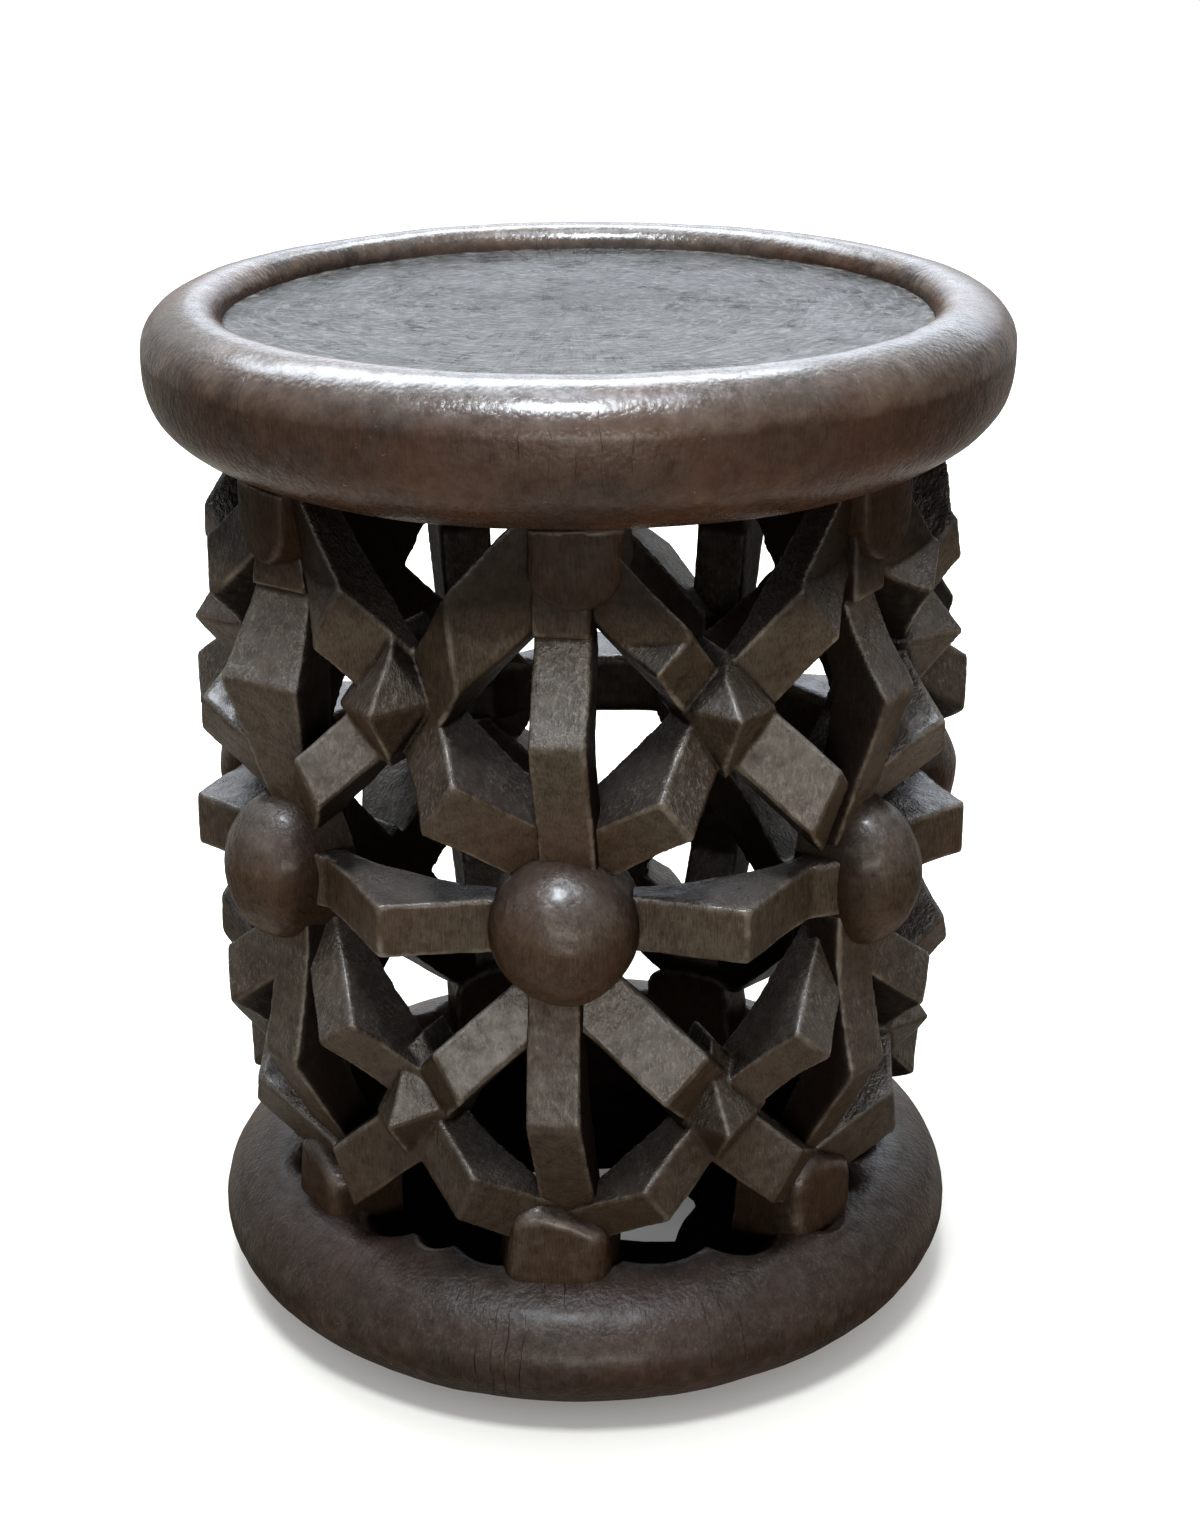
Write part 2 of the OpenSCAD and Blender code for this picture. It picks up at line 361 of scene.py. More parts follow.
shade = {
    "seatShadowZ": 344 * mm,     # above it, a painted shadow of the seat makes the lattice darker and duller
    "seatShadowFade": 18 * mm,
    "deepR": 112 * mm,     # nearer the axis it is painted dark, as shade inside the wall, and beyond openR it isn't
    "openR": 132 * mm,
    "least": 0.1,          # what either leaves of a face's painted light
    "up": 0.75,            # how lit a face that looks up is painted, beside one that looks out
    "aside": 0.6,          # how much painted light a face loses that looks sideways
}
# painted shade colour, for the recesses, the seat's shadow and the inside of the wall
shadeColor = (0.006, 0.004, 0.0035, 1)
# pale dust and painted sheen, for faces that look up
dustAndSheen = (0.15, 0.14, 0.145, 1)
bareWood = (0.4, 0.33, 0.25, 1)
crackDark = (0.004, 0.003, 0.003, 1)


def paintedLight(tree):  # painted light: 1 on faces that look out or up, 0 in the recesses and inside the wall, with painted shade on faces that look sideways and under the seat
    coords = put(tree, "ShaderNodeTexCoord")
    level = stretched(tree, coords["Object"], (1, 1, 0))
    away = vectorMath(tree, "NORMALIZE", level)
    outward = vectorMath(tree, "DOT_PRODUCT", away, coords["Normal"])
    upward = axesOf(tree, coords["Normal"])[2]
    aside = minus(tree, 1.0, times(tree, outward, outward))
    aside = minus(tree, aside, times(tree, upward, upward))
    seen = larger(tree, outward, times(tree, upward, shade["up"]))
    seen = minus(tree, seen, times(tree, aside, shade["aside"]))
    height = axesOf(tree, coords["Object"])[2]
    # painted shadow of the seat over the top of the lattice
    outsideSeatShadow = remap(tree, height, shade["seatShadowZ"] + shade["seatShadowFade"], shade["seatShadowZ"], shade["least"])
    # painted shade nearer the axis, inside the wall and the ring
    near = remap(tree, vectorMath(tree, "LENGTH", level), shade["deepR"], shade["openR"],
                 shade["least"])
    return times(tree, remap(tree, seen, -0.15, 0.5), outsideSeatShadow, near), upward


plainWood = {
    "Dark": (0.014, 0.009, 0.0055, 1), "Middle": (0.078, 0.06, 0.043, 1),
    "Light": (0.25, 0.215, 0.18, 1), "Red": (0.07, 0.03, 0.016, 1),
    "Redness": 0.4,
    "Rasp": 1.0,      # hatching on faces that look up, pale there as a painted sheen
    "Grain": 0.25,
    "Chips": 0.12,
    "Gloss": 0.33,    # the roughness before wear
    "Shine": 0.75,    # how much it reflects
    "Bloom": 0.25,    # pale dust and painted sheen on faces that look up
    "Dim": 0.5,       # how much darker it is near the ring
    "Recess": 0.9,    # how dark the painted shade in its recesses is
}
plainSplits = {
    "Count": 24.0,    # cells per radian round the stool
    "Width": 0.035,
    "Share": 0.12,    # how much of the surface has them
    "Swerve": 0.5,
}


def carvedWoodGroup():
    tree, into, out = newTree(
        "ShaderNodeTree", "carvedWood", inputsFor(plainWood),
        [("Color", "Color"), ("Roughness", "Float"), ("Height", "Float"), ("Polish", "Float")])
    place = put(tree, "ShaderNodeTexCoord")["Object"]
    worn = put(tree, "ShaderNodeAttribute", attribute_name="worn")["Fac"]
    hollow = put(tree, "ShaderNodeAttribute", attribute_name="hollow")["Fac"]
    seen, facing = paintedLight(tree)
    # painted shade: the less a face gets of the painted light, the nearer it turns to the shade
    # colour
    shadeMask = times(tree, minus(tree, 1.0, seen), into["Recess"])
    patches = noise(tree, place, 16.0, 4.0, 0.6)
    mottle = noise(tree, place, 150.0, 7.0, 0.7)
    fibre = noise(tree, stretched(tree, place, (1.0, 1.0, 0.12)), 1500.0, 3.0, 0.6)
    creases = put(tree, "ShaderNodeTexVoronoi", {"Vector": place, "Scale": 420.0})[0]
    hatch = noise(tree, stretched(tree, place, (1.0, 1.0, 0.5)), 640.0, 2.0, 0.7)
    raspAndSheen = times(tree, remap(tree, facing, -0.05, 0.4), into["Rasp"],
                   remap(tree, noise(tree, place, 50.0, 2.0), 0.36, 0.55, 0.25))
    rubbedAndHighlit = times(tree, remap(tree, worn, 0.35, 1.0),
                   remap(tree, noise(tree, place, 45.0, 4.0, 0.7), 0.42, 0.62))
    # faces that look up are paler: dust and a painted sheen
    dustAndSheenMask = times(tree, remap(tree, facing, 0.12, 0.6), remap(tree, mottle, 0.38, 0.6, 0.6))
    chips = remap(tree, noise(tree, place, 230.0, 5.0, 0.75), 0.67, 0.71)
    low = remap(tree, axesOf(tree, place)[2], 250 * mm, 90 * mm)

    tone = weighed(tree, (mottle, 0.4), (fibre, 0.6))
    color = blend(tree, remap(tree, tone, 0.3, 0.6), into["Dark"], into["Middle"])
    color = layered(tree, color, (
        (remap(tree, patches, 0.42, 0.72), into["Redness"], into["Red"]),
        (dustAndSheenMask, into["Bloom"], dustAndSheen),
        # pale hatching only where a face looks up: rasp marks with a painted sheen
        (remap(tree, hatch, 0.52, 0.66), times(tree, raspAndSheen, 0.6), into["Light"]),
        # hollows painted darker, as shade in the creases
        (hollow, 0.8, into["Dark"]),
        # worn arrises paler, partly from wear and partly as a painted highlight
        (rubbedAndHighlit, 0.75, into["Light"]),
        (chips, into["Chips"], bareWood),
        (low, into["Dim"], into["Dark"]),
        # painted shade in the recesses, on sideways faces, under the seat and inside
        (shadeMask, 1.0, shadeColor)))
    change = weighed(tree, (minus(tree, mottle, 0.5), 0.45), (hollow, 0.25), (rubbedAndHighlit, -0.12))
    height = weighed(tree, (fibre, 0.3), (hatch, times(tree, raspAndSheen, 4.0)),
                     (creases, times(tree, into["Grain"], -1.1)), (mottle, 1.3))
    polish = times(tree, minus(tree, into["Shine"], times(tree, shadeMask, 0.4)),
                   remap(tree, facing, 0.05, 0.6, 0.12), remap(tree, mottle, 0.4, 0.6, 0.7, 1.2))
    feed(tree, out, {"Color": color, "Height": height, "Polish": larger(tree, polish, 0.0),
                     "Roughness": larger(tree, plus(tree, into["Gloss"], change), 0.16)})
    return tree


def drySplitsGroup():  # thin upright cracks, at uneven distances round the stool
    tree, into, out = newTree("ShaderNodeTree", "drySplits", inputsFor(plainSplits),
                              [("Mask", "Float")])
    place = put(tree, "ShaderNodeTexCoord")["Object"]
    axes = axesOf(tree, place)
    angle = compute(tree, "ARCTAN2", axes[0], times(tree, axes[1], -1.0))
    swerve = times(tree, minus(tree, noise(tree, place, 60.0), 0.5), into["Swerve"])
    across = plus(tree, times(tree, angle, into["Count"]), swerve)
    toSplit = put(tree, "ShaderNodeTexVoronoi", {"W": across, "Scale": 1.0},
                  voronoi_dimensions="1D", feature="DISTANCE_TO_EDGE")[0]
    wide = times(tree, into["Width"],
                 remap(tree, noise(tree, place, 90.0, 2.0), 0.35, 0.65, 0.3, 1.6))
    share = compute(tree, "MINIMUM", compute(tree, "DIVIDE", toSplit, wide), 1.0)
    edge = minus(tree, 0.72, times(tree, into["Share"], 0.4))
    gate = remap(tree, noise(tree, place, 26.0, 3.0, 0.6), edge, plus(tree, edge, 0.04))
    feed(tree, out, {"Mask": times(tree, minus(tree, 1.0, share), gate)})
    return tree


carvedWood = carvedWoodGroup()
drySplits = drySplitsGroup()


def useGroup(tree, group, values):
    node = tree.nodes.new("ShaderNodeGroup")
    node.node_tree = group
    return feed(tree, node, values)


def newMaterial(name):
    material = bpy.data.materials.new(name)
    material.use_nodes = True
    tree = material.node_tree
    return material, tree, tree.nodes["Principled BSDF"]


def woodMaterial(name, wood, splits, bump, wax):
    material, tree, shader = newMaterial(name)
    carved = useGroup(tree, carvedWood, wood)
    mask = useGroup(tree, drySplits, splits)["Mask"]
    slant = put(tree, "ShaderNodeLayerWeight", {"Blend": 0.5})["Facing"]
    sideways = axesOf(tree, put(tree, "ShaderNodeTexCoord")["Normal"])[0]
    polish = times(tree, carved["Polish"],  # dull at a slant, and at the stool's two sides
                   remap(tree, slant, 0.5, 0.9, 1.0, 0.1),
                   remap(tree, compute(tree, "ABSOLUTE", sideways), 0.15, 0.7, 1.0, 0.12))
    height = minus(tree, carved["Height"], times(tree, mask, 2.0))
    feed(tree, shader, {
        "Base Color": blend(tree, mask, carved["Color"], crackDark),
        "Roughness": carved["Roughness"], "Specular IOR Level": polish,
        "Coat Weight": times(tree, polish, wax), "Coat Roughness": 0.22,
        "Normal": bumped(tree, bump, 0.5 * mm, height)})
    return material


latticeWood = woodMaterial("latticeWood", plainWood, plainSplits, 0.8, 0.5)
bossWood = woodMaterial("bossWood", {
    "Dark": (0.013, 0.007, 0.0045, 1), "Middle": (0.058, 0.04, 0.027, 1),
    "Light": (0.22, 0.17, 0.13, 1), "Red": (0.08, 0.032, 0.016, 1), "Redness": 0.4, "Rasp": 0.35,
    "Grain": 0.5, "Chips": 0.15, "Gloss": 0.32, "Shine": 0.45, "Bloom": 0.2, "Dim": 0.2,
    "Recess": 0.6}, {"Count": 30.0, "Width": 0.04, "Share": 0.2, "Swerve": 0.7}, 0.6, 1.0)
ringWood = woodMaterial("ringWood", {
    "Dark": (0.013, 0.009, 0.0075, 1), "Middle": (0.038, 0.027, 0.021, 1),
    "Light": (0.16, 0.12, 0.1, 1), "Red": (0.055, 0.027, 0.02, 1), "Redness": 0.5, "Rasp": 0.3,
    "Grain": 0.6, "Chips": 0.3, "Gloss": 0.36, "Shine": 0.25, "Bloom": 0.0, "Dim": 0.0,
    "Recess": 0.85}, {"Count": 22.0, "Width": 0.03, "Share": 0.5, "Swerve": 0.8}, 0.6, 0.4)
rimWood = woodMaterial("rimWood", {
    "Dark": (0.015, 0.0085, 0.006, 1), "Middle": (0.048, 0.031, 0.023, 1),
    "Light": (0.19, 0.13, 0.09, 1), "Red": (0.095, 0.038, 0.019, 1), "Redness": 0.7, "Rasp": 0.15,
    "Grain": 0.9, "Chips": 0.5, "Gloss": 0.27, "Shine": 0.75, "Bloom": 0.0, "Dim": 0.0,
    "Recess": 0.0}, {"Count": 21.0, "Width": 0.02, "Share": 0.4, "Swerve": 0.8}, 0.45, 4 / 3)

seat = {
    "crestIn": 23 * mm,      # from the widest line in to the crest
    "rimSlope": 11 * mm,     # from the crest in to the dish's edge
    "bowlIn": 93 * mm,       # where the underside's curve starts
    "fullness": 0.71,        # of that curve, where 1 is an ellipse and less is fuller
    "rimFoot": 5 * mm,       # how far the rim goes on down behind the dish
    "rimFootIn": 2 * mm,     # and in
    "dishThick": 4 * mm,
    "dishLap": 1.2 * mm,     # how far the dish goes in under the rim
    "chipWide": 6 * mm,      # the chipped band round the dish
    "pith": (0.004, -0.03, 0),
    "rimSpokes": 480,
    "rimStep": 2.3 * mm,
    "dishSpokes": 360,
    "dishStep": 2.5 * mm,
    "rimSurface": {"Wave Height": 0.55 * mm, "Wave Size": 60 * mm, "Mark Height": 0.1 * mm,
                   "Mark Size": 9 * mm, "Seed": 3.0},
    "dishSurface": {"Wave Height": 0.35 * mm, "Wave Size": 40 * mm, "Mark Height": 0.12 * mm,
                    "Mark Size": 7 * mm, "Seed": 5.0},
}
crestR = stool["seatR"] - seat["crestIn"]
dishR = crestR - seat["rimSlope"]


def dishMaterial():  # end grain: rings and splits about the pith, and pale chips along the crease
    material, tree, shader = newMaterial("dishWood")
    place = put(tree, "ShaderNodeTexCoord")["Object"]
    flat = put(tree, "ShaderNodeMapping",
               {"Vector": place, "Location": seat["pith"], "Scale": (1, 1, 0)})[0]
    wobble = put(tree, "ShaderNodeTexNoise", {"Vector": place, "Scale": 22.0, "Detail": 3.0})[1]
    away = vectorMath(tree, "LENGTH", vectorMath(tree, "ADD", flat, scaled(tree, wobble, 0.02)))
    way = axesOf(tree, vectorMath(tree, "NORMALIZE", flat))

    def aboutPith(around, outward):  # a place in turns about the pith and distance from it
        return put(tree, "ShaderNodeCombineXYZ", {
            0: times(tree, way[0], around), 1: times(tree, way[1], around),
            2: times(tree, away, outward)})[0]

    fan = aboutPith(22.0, 14.0)
    growth = compute(tree, "SINE", times(tree, away, 1300.0))
    strokes = noise(tree, stretched(tree, fan, (5.0, 5.0, 2.6)), 1.6, 3.0, 0.7)
    rays = noise(tree, fan, 2.2, 4.0, 0.65)
    toSplit = put(tree, "ShaderNodeTexVoronoi", {"Vector": fan, "Scale": 0.8},
                  feature="DISTANCE_TO_EDGE")[0]
    splits = times(tree, remap(tree, toSplit, 0.012, 0.0),
                   remap(tree, noise(tree, place, 40.0), 0.46, 0.56))
    mottle = noise(tree, place, 55.0, 6.0, 0.7)
    grit = noise(tree, place, 420.0, 4.0, 0.7)
    arcs = noise(tree, aboutPith(7.0, 260.0), 1.5, 4.0, 0.7)
    scratches = noise(tree, stretched(tree, place, (0.35, 1.0, 1.0)), 520.0, 2.0, 0.6)
    marks = larger(tree, remap(tree, arcs, 0.5, 0.68), remap(tree, scratches, 0.54, 0.7))
    lichen = times(tree, remap(tree, noise(tree, place, 30.0, 5.0, 0.7), 0.58, 0.7),
                   remap(tree, grit, 0.5, 0.62))
    flecks = remap(tree, noise(tree, place, 160.0, 5.0, 0.75), 0.62, 0.68)
    rimward = remap(tree, vectorMath(tree, "LENGTH", stretched(tree, place, (1, 1, 0))),
                    dishR - seat["chipWide"], dishR)
    chips = remap(tree, noise(tree, place, 130.0, 4.0, 0.7), 0.5, 0.56)

    tone = weighed(tree, (mottle, 0.6), (rays, 0.4))
    color = blend(tree, remap(tree, tone, 0.38, 0.66), (0.01, 0.009, 0.008, 1),
                  (0.055, 0.05, 0.044, 1))
    color = layered(tree, color, (
        (remap(tree, strokes, 0.56, 0.66), 0.5, (0.2, 0.185, 0.165, 1)),
        (remap(tree, growth, 0.3, 1.0), 0.3, (0.09, 0.075, 0.065, 1)),
        (lichen, 0.5, (0.1, 0.14, 0.11, 1)),
        (flecks, 0.6, (0.2, 0.19, 0.18, 1)),
        (marks, 0.45, (0.2, 0.21, 0.2, 1)),
        (chips, rimward, (0.3, 0.27, 0.24, 1)),
        (splits, 1.0, (0.005, 0.004, 0.004, 1))))
    height = weighed(tree, (growth, 0.15), (rays, 1.0), (marks, 0.5), (grit, 1.4),
                     (strokes, 1.3), (mottle, 1.5), (splits, -1.5))
    glint = plus(tree, times(tree, marks, 0.55), remap(tree, mottle, 0.35, 0.65, 0.02, 0.34))
    feed(tree, shader, {
        "Base Color": color, "Specular IOR Level": glint, "Coat Weight": 0.08,
        "Coat Roughness": 0.35, "Normal": bumped(tree, 0.9, 0.8 * mm, height),
        "Roughness": plus(tree, 0.3, times(tree, minus(tree, mottle, 0.45), 0.5))})
    return material


dishWood = dishMaterial()
print("materials made")


# The lattice wall

wall = {
    "barrelR": 168 * mm,       # the ridges' outline at its widest
    "barrelZ": 248 * mm,
    "barrelDraw": 25 * mm,     # how much narrower it is at the ring's top
    "valleyR": 144 * mm,       # strut faces beside the middle bosses
    "armValleyR": 140 * mm,    # and the ends of the arms there, behind the posts
    "topValleyR": 144 * mm,    # strut faces beside the upper bosses
    "footValleyR": 128 * mm,   # strut faces beside the foot bosses
    "coreR": 119 * mm,
    "frontCoreR": 127 * mm,    # of the arms in front, which are less deep
    "arris": 1.8 * mm,         # how round the worn edges are
    "crease": 0.8 * mm,
    "voxel": 1.2 * mm,
}


def barrelAt(z):
    fall = (z - wall["barrelZ"]) / (wall["barrelZ"] - stool["ringTop"])
    return wall["barrelR"] - wall["barrelDraw"] * fall * fall


def depthAt(radius, u):
    return math.sqrt(radius * radius - u * u)


def columnU(radius):
    return radius * math.sin(pitch / 2)


# Crosses: four faceted arms and a four-sided point in each cell of a tier

cell = {
    "half": 76 * mm,
    "inner": 106 * mm,
    "outer": 175 * mm,
    "lap": 3 * mm,         # how far a cross goes past the middle of the columns beside it
    "ripple": 0.3 * mm,
    "rippleSize": 30 * mm,
}
tiers = {
    "upper": {"knobZ": 313 * mm, "topZ": 396 * mm, "topR": wall["topValleyR"], "footZ": 249 * mm,
              "footR": wall["armValleyR"], "low": 234 * mm, "high": 393 * mm, "sag": 0 * mm,
              "stream": 4},  # which row of random numbers it draws from
    "lower": {"knobZ": 134 * mm, "topZ": 203 * mm, "topR": wall["armValleyR"], "footZ": 77 * mm,
              "footR": wall["footValleyR"], "low": 52 * mm, "high": 218 * mm, "sag": 3 * mm,
              "stream": 0},
}
armStart = 13.6 * mm  # from the knob's middle, under its edge
plainArm = {
    "creaseZ": 0,          # height where a crease ends the facet beside the boss, if there is one
    "aim": 0 * mm,         # how much higher its end lies
    "core": wall["coreR"],
}
armRanges = {
    "ridge": (0.34, 0.43),             # its place, as a share of the way from knob to boss
    "lean": (0.05, 0.5),               # how much it leans from square towards upright
    "width": (20.5 * mm, 24.5 * mm),
    "gouge": (0.3 * mm, 1.3 * mm),     # hollow of the facet beside the knob
    "scoop": (0.2 * mm, 1.2 * mm),     # hollow of the facet beside the boss
    "shift": (-2 * mm, 2 * mm),        # how far it lies above the line from knob to boss
}
creasedRanges = {  # of the arms that rise to the upper bosses
    "creaseZ": (347 * mm, 360 * mm),
    "fold": (0.4, 0.9),    # share of the ridge's height that the far face has at its upper side
    "scoop": (1.0 * mm, 2.5 * mm),
}
creasedAim = -6 * mm
plainKnob = {
    "u": 0 * mm, "z": 0 * mm,
    "left": 18 * mm, "right": 18 * mm, "up": 25 * mm, "down": 24 * mm,
    "drop": 20 * mm,       # from its point to its edge
}
knobRanges = {
    "apexU": (-4 * mm, 4 * mm),
    "apexZ": (-2 * mm, 4 * mm),
    "slant": (-0.15, 0.15),     # how much its level ridge rises to the right
    "lean": (-0.08, 0.08),      # how much its upright ridge leans to the right
}


def drawn(draw, ranges):
    return {key: draw.uniform(low, high) for key, (low, high) in ranges.items()}


def armField(u, d, z, tier, side, rising, shape):
    run = columnU(wall["valleyR"])
    rise = (tier["topZ"] if rising else tier["footZ"]) - tier["knobZ"] + shape["aim"]
    endR = tier["topR"] if rising else tier["footR"]
    length = math.hypot(run, rise)
    ex, ez = side * run / length, rise / length
    along = u * ex + (z - tier["knobZ"]) * ez
    across = (z - tier["knobZ"]) * ex * side - u * ez * side - shape["shift"]
    half = shape["width"] / 2
    ridge = armStart + (length - armStart) * shape["ridge"]
    ridgeD = depthAt(barrelAt(tier["knobZ"] + ridge * ez), ridge * ex)
    startD = depthAt(wall["valleyR"], armStart * ex)
    endD = depthAt(endR, length * ex)
    lean = shape["lean"] * (-1 if rising else 1)
    skew = 1 + lean * lean
    t = along - ridge + lean * across  # how far past the ridge
    climb = (ridgeD - startD) / (ridge - armStart)
    gouge = shape["gouge"] * hump(t, armStart - ridge, 0)
    knobSide = (d - ridgeD - climb * t) / math.sqrt(1 + climb * climb * skew) + gouge
    reach = length - ridge
    if shape["creaseZ"]:
        creaseAt = (shape["creaseZ"] - tier["knobZ"] + half * abs(ex)) / ez
        reach = creaseAt - ridge - lean * half
        endD = depthAt(endR, min(ridge + reach, length) * ex)
    fall = (ridgeD - endD) / reach
    scoop = shape["scoop"] * hump(t, 0, reach)
    bossSide = (d - ridgeD + fall * t) / math.sqrt(1 + fall * fall * skew) + scoop
    if shape["creaseZ"]:  # beyond the crease, the face is folded the other way
        fold = shape["fold"] * (ridgeD - endD) * np.clip(across / (2 * half) + 0.5, 0, 1.2)
        fold = fold * (1 - 0.5 * np.clip((along - ridge) / (length - ridge), 0, 1))
        bossSide = roundedMin(bossSide, fromAxis(u, d) - endR - fold, wall["crease"])
    field = roundedMax(knobSide, bossSide, wall["arris"])
    field = roundedMax(field, softAbs(across, mm) - half, wall["arris"])
    field = np.maximum(field, shape["core"] - fromAxis(u, d))
    return np.maximum(field, -along)


def knobField(u, d, z, tier, shape):
    soft = 0.5 * mm
    u = u - shape["u"]
    z = z - tier["knobZ"] - shape["z"]
    x = u - shape["lean"] * z
    y = z - shape["slant"] * u
    apexU, apexZ = shape["apexU"], shape["apexZ"]
    w = np.where(x < apexU, shape["left"] + apexU, shape["right"] - apexU)
    h = np.where(y < apexZ, shape["down"] + apexZ, shape["up"] - apexZ)
    fromApex = softAbs(x - apexU, soft) / w + softAbs(y - apexZ, soft) / h
    wide = np.where(x < 0, shape["left"], shape["right"])
    tall = np.where(y < 0, shape["down"], shape["up"])
    away = softAbs(x, soft) / wide + softAbs(y, soft) / tall
    apexD = barrelAt(tier["knobZ"] + shape["z"] + apexZ)
    slope = shape["drop"] * np.sqrt(1 / (w * w) + 1 / (h * h))
    facets = (d - apexD + shape["drop"] * fromApex) / np.sqrt(1 + slope * slope)
    walls = (away - 1) * wide * tall / np.sqrt(wide * wide + tall * tall)
    return roundedMax(facets, walls, 0.6 * wall["arris"])


armNames = ("upLeft", "upRight", "downLeft", "downRight")

# Ridge's place, lean, and width and shift in mm, of the arms in the four cells in front
frontArms = {
    ("upper", 7): ((0.344, 0.47, 26.0, 2.9), (0.37, 0.95, 27.0, -2.5),
                   (0.437, 0.33, 20.5, 1.5), (0.364, 0.22, 24.5, -2.9)),
    ("upper", 1): ((0.329, 0.09, 19.5, -2.4), (0.406, 0.29, 25.0, -4.5),
                   (0.42, 0.15, 21.0, -3.2), (0.52, 0.34, 25.5, -1.4)),
    ("lower", 7): ((0.402, -0.09, 20.0, 4.0), (0.313, 0.32, 21.0, 1.1),
                   (0.596, 0.40, 24.5, -5.0), (0.375, 0.39, 21.5, -5.5)),
    ("lower", 1): ((0.293, 0.05, 25.0, 2.8), (0.431, 0.02, 19.0, -2.3),
                   (0.434, 0.14, 19.0, -3.5), (0.433, 0.21, 25.0, -4.0)),
}
# What else single arms have of their own, as the photo shows it in front or through the gaps
ownArms = {
    ("upper", 5, "downLeft"): {"shift": -9 * mm, "width": 20 * mm},
    ("upper", 3, "downRight"): {"shift": -9 * mm, "width": 20 * mm},
    ("upper", 4, "downRight"): {"shift": -3 * mm, "width": 29 * mm},
    ("upper", 7, "upRight"): {"aim": -8 * mm, "creaseZ": 350 * mm, "scoop": 2.5 * mm, "fold": 1.0},
    ("upper", 1, "upLeft"): {"aim": -8 * mm, "creaseZ": 346 * mm, "scoop": 2.5 * mm, "fold": 1.0},
    ("upper", 7, "upLeft"): {"aim": -4 * mm, "creaseZ": 357 * mm, "scoop": 1.5 * mm, "fold": 0.7,
                             "core": 134 * mm},
    ("upper", 1, "upRight"): {"aim": 0 * mm, "creaseZ": 364 * mm, "scoop": 2 * mm, "fold": 0.6,
                              "core": 134 * mm},
    ("upper", 6, "upRight"): {"creaseZ": 0},
    ("upper", 6, "upLeft"): {"creaseZ": 0},
    ("lower", 5, "upLeft"): {"width": 28 * mm, "shift": 7 * mm},
    ("lower", 5, "upRight"): {"width": 34 * mm, "shift": 4 * mm},
    ("lower", 4, "upLeft"): {"width": 28 * mm, "shift": -2 * mm},
    ("lower", 4, "downLeft"): {"width": 32 * mm, "shift": -1 * mm},
    ("lower", 4, "upRight"): {"width": 30 * mm, "shift": 3 * mm},
    ("lower", 3, "upRight"): {"width": 20 * mm, "shift": 4 * mm},
    ("lower", 3, "downRight"): {"width": 32 * mm, "shift": -3 * mm},
}
ownKnobs = {
    ("upper", 7): {"u": -6.5 * mm, "left": 21.7 * mm, "right": 18.5 * mm, "up": 30 * mm,
                   "down": 27.5 * mm, "apexU": 4.0 * mm, "apexZ": 0.5 * mm, "lean": 0.06},
    ("upper", 1): {"u": 2.2 * mm, "z": -2 * mm, "left": 19.1 * mm, "right": 20 * mm,
                   "up": 23.5 * mm, "down": 28 * mm, "apexU": -5 * mm, "apexZ": 3.2 * mm,
                   "lean": -0.01},
    ("upper", 6): {"z": 5 * mm, "up": 27 * mm, "left": 21 * mm, "right": 21 * mm},
    ("lower", 5): {"z": 5 * mm, "left": 24 * mm, "right": 24 * mm, "up": 36 * mm},
    ("lower", 4): {"left": 27 * mm},
    ("lower", 7): {"u": -2 * mm, "z": -1 * mm, "left": 20.8 * mm, "right": 19 * mm,
                   "up": 34 * mm, "down": 27 * mm, "apexZ": 0 * mm, "slant": 0.3},
    ("lower", 1): {"u": 2 * mm, "z": -1 * mm, "left": 17.5 * mm, "right": 22 * mm,
                   "up": 34 * mm, "down": 26 * mm, "apexU": -4.5 * mm, "apexZ": 0 * mm,
                   "slant": 0.04},
}
sideReach = {2: 1 * mm, 6: 1.5 * mm}  # how much further out the crosses stand in these cells


def carveCross(tierName, k):
    tier = tiers[tierName]
    draw = np.random.default_rng([seed, k, tier["stream"]])
    low = (-cell["half"], cell["inner"], tier["low"])
    u, d, z = makeGrid(low, (cell["half"], cell["outer"], tier["high"]), wall["voxel"])
    knob = {**plainKnob, **drawn(draw, knobRanges), **ownKnobs.get((tierName, k), {})}
    field = knobField(u, d, z, tier, knob)
    front = frontArms.get((tierName, k))
    for i, name in enumerate(armNames):
        rising = name.startswith("up")
        side = -1 if name.endswith("Left") else 1
        arm = {**plainArm, **drawn(draw, armRanges)}
        if not rising:
            arm["shift"] -= tier["sag"]
        if rising and tierName == "upper":
            arm.update(drawn(draw, creasedRanges), aim=creasedAim)
        if front:
            ridge, lean, width, shift = front[i]
            arm.update(ridge=ridge, lean=lean, width=width * mm, shift=shift * mm,
                       core=wall["frontCoreR"])
        arm.update(ownArms.get((tierName, k, name), {}))
        arm = armField(u, d, z, tier, side, rising, arm)
        field = roundedMin(field, arm, wall["crease"])
    field = np.maximum(field, wall["coreR"] - fromAxis(u, d))
    field = field + ripple(u, d, z, cell["rippleSize"], draw) * cell["ripple"]
    beside = np.abs(u) * math.cos(pitch / 2) - d * math.sin(pitch / 2) - cell["lap"]
    points, quads = meshFromField(np.maximum(field, beside), low, wall["voxel"])
    points[:, 1] += sideReach.get(k, 0)
    cross = newObject(f"{tierName}Cross{k}", turned(points, cellAngles[k]), quads)
    growMesh(cross, handCarved, {"Seed": float(k), "Material": latticeWood})
    finishPiece(cross, [f"{tierName}_cross_{k}"])


for k in columns:
    carveCross("upper", k)
    carveCross("lower", k)
print("crosses carved:", 2 * columnCount)


# Members repeated round the stool. Each is carved once, out of a block that is half wide each way,
# inner to outer deep and low to high, and nodes place it about its own middle. A member's changes
# are in place (along, out, up), in angle (twist, tip) and in size (wide, tall, deep).

memberRanges = {"twist": (-0.04, 0.04), "tip": (-0.02, 0.02), "wide": (0.96, 1.03),
                "tall": (0.97, 1.02)}


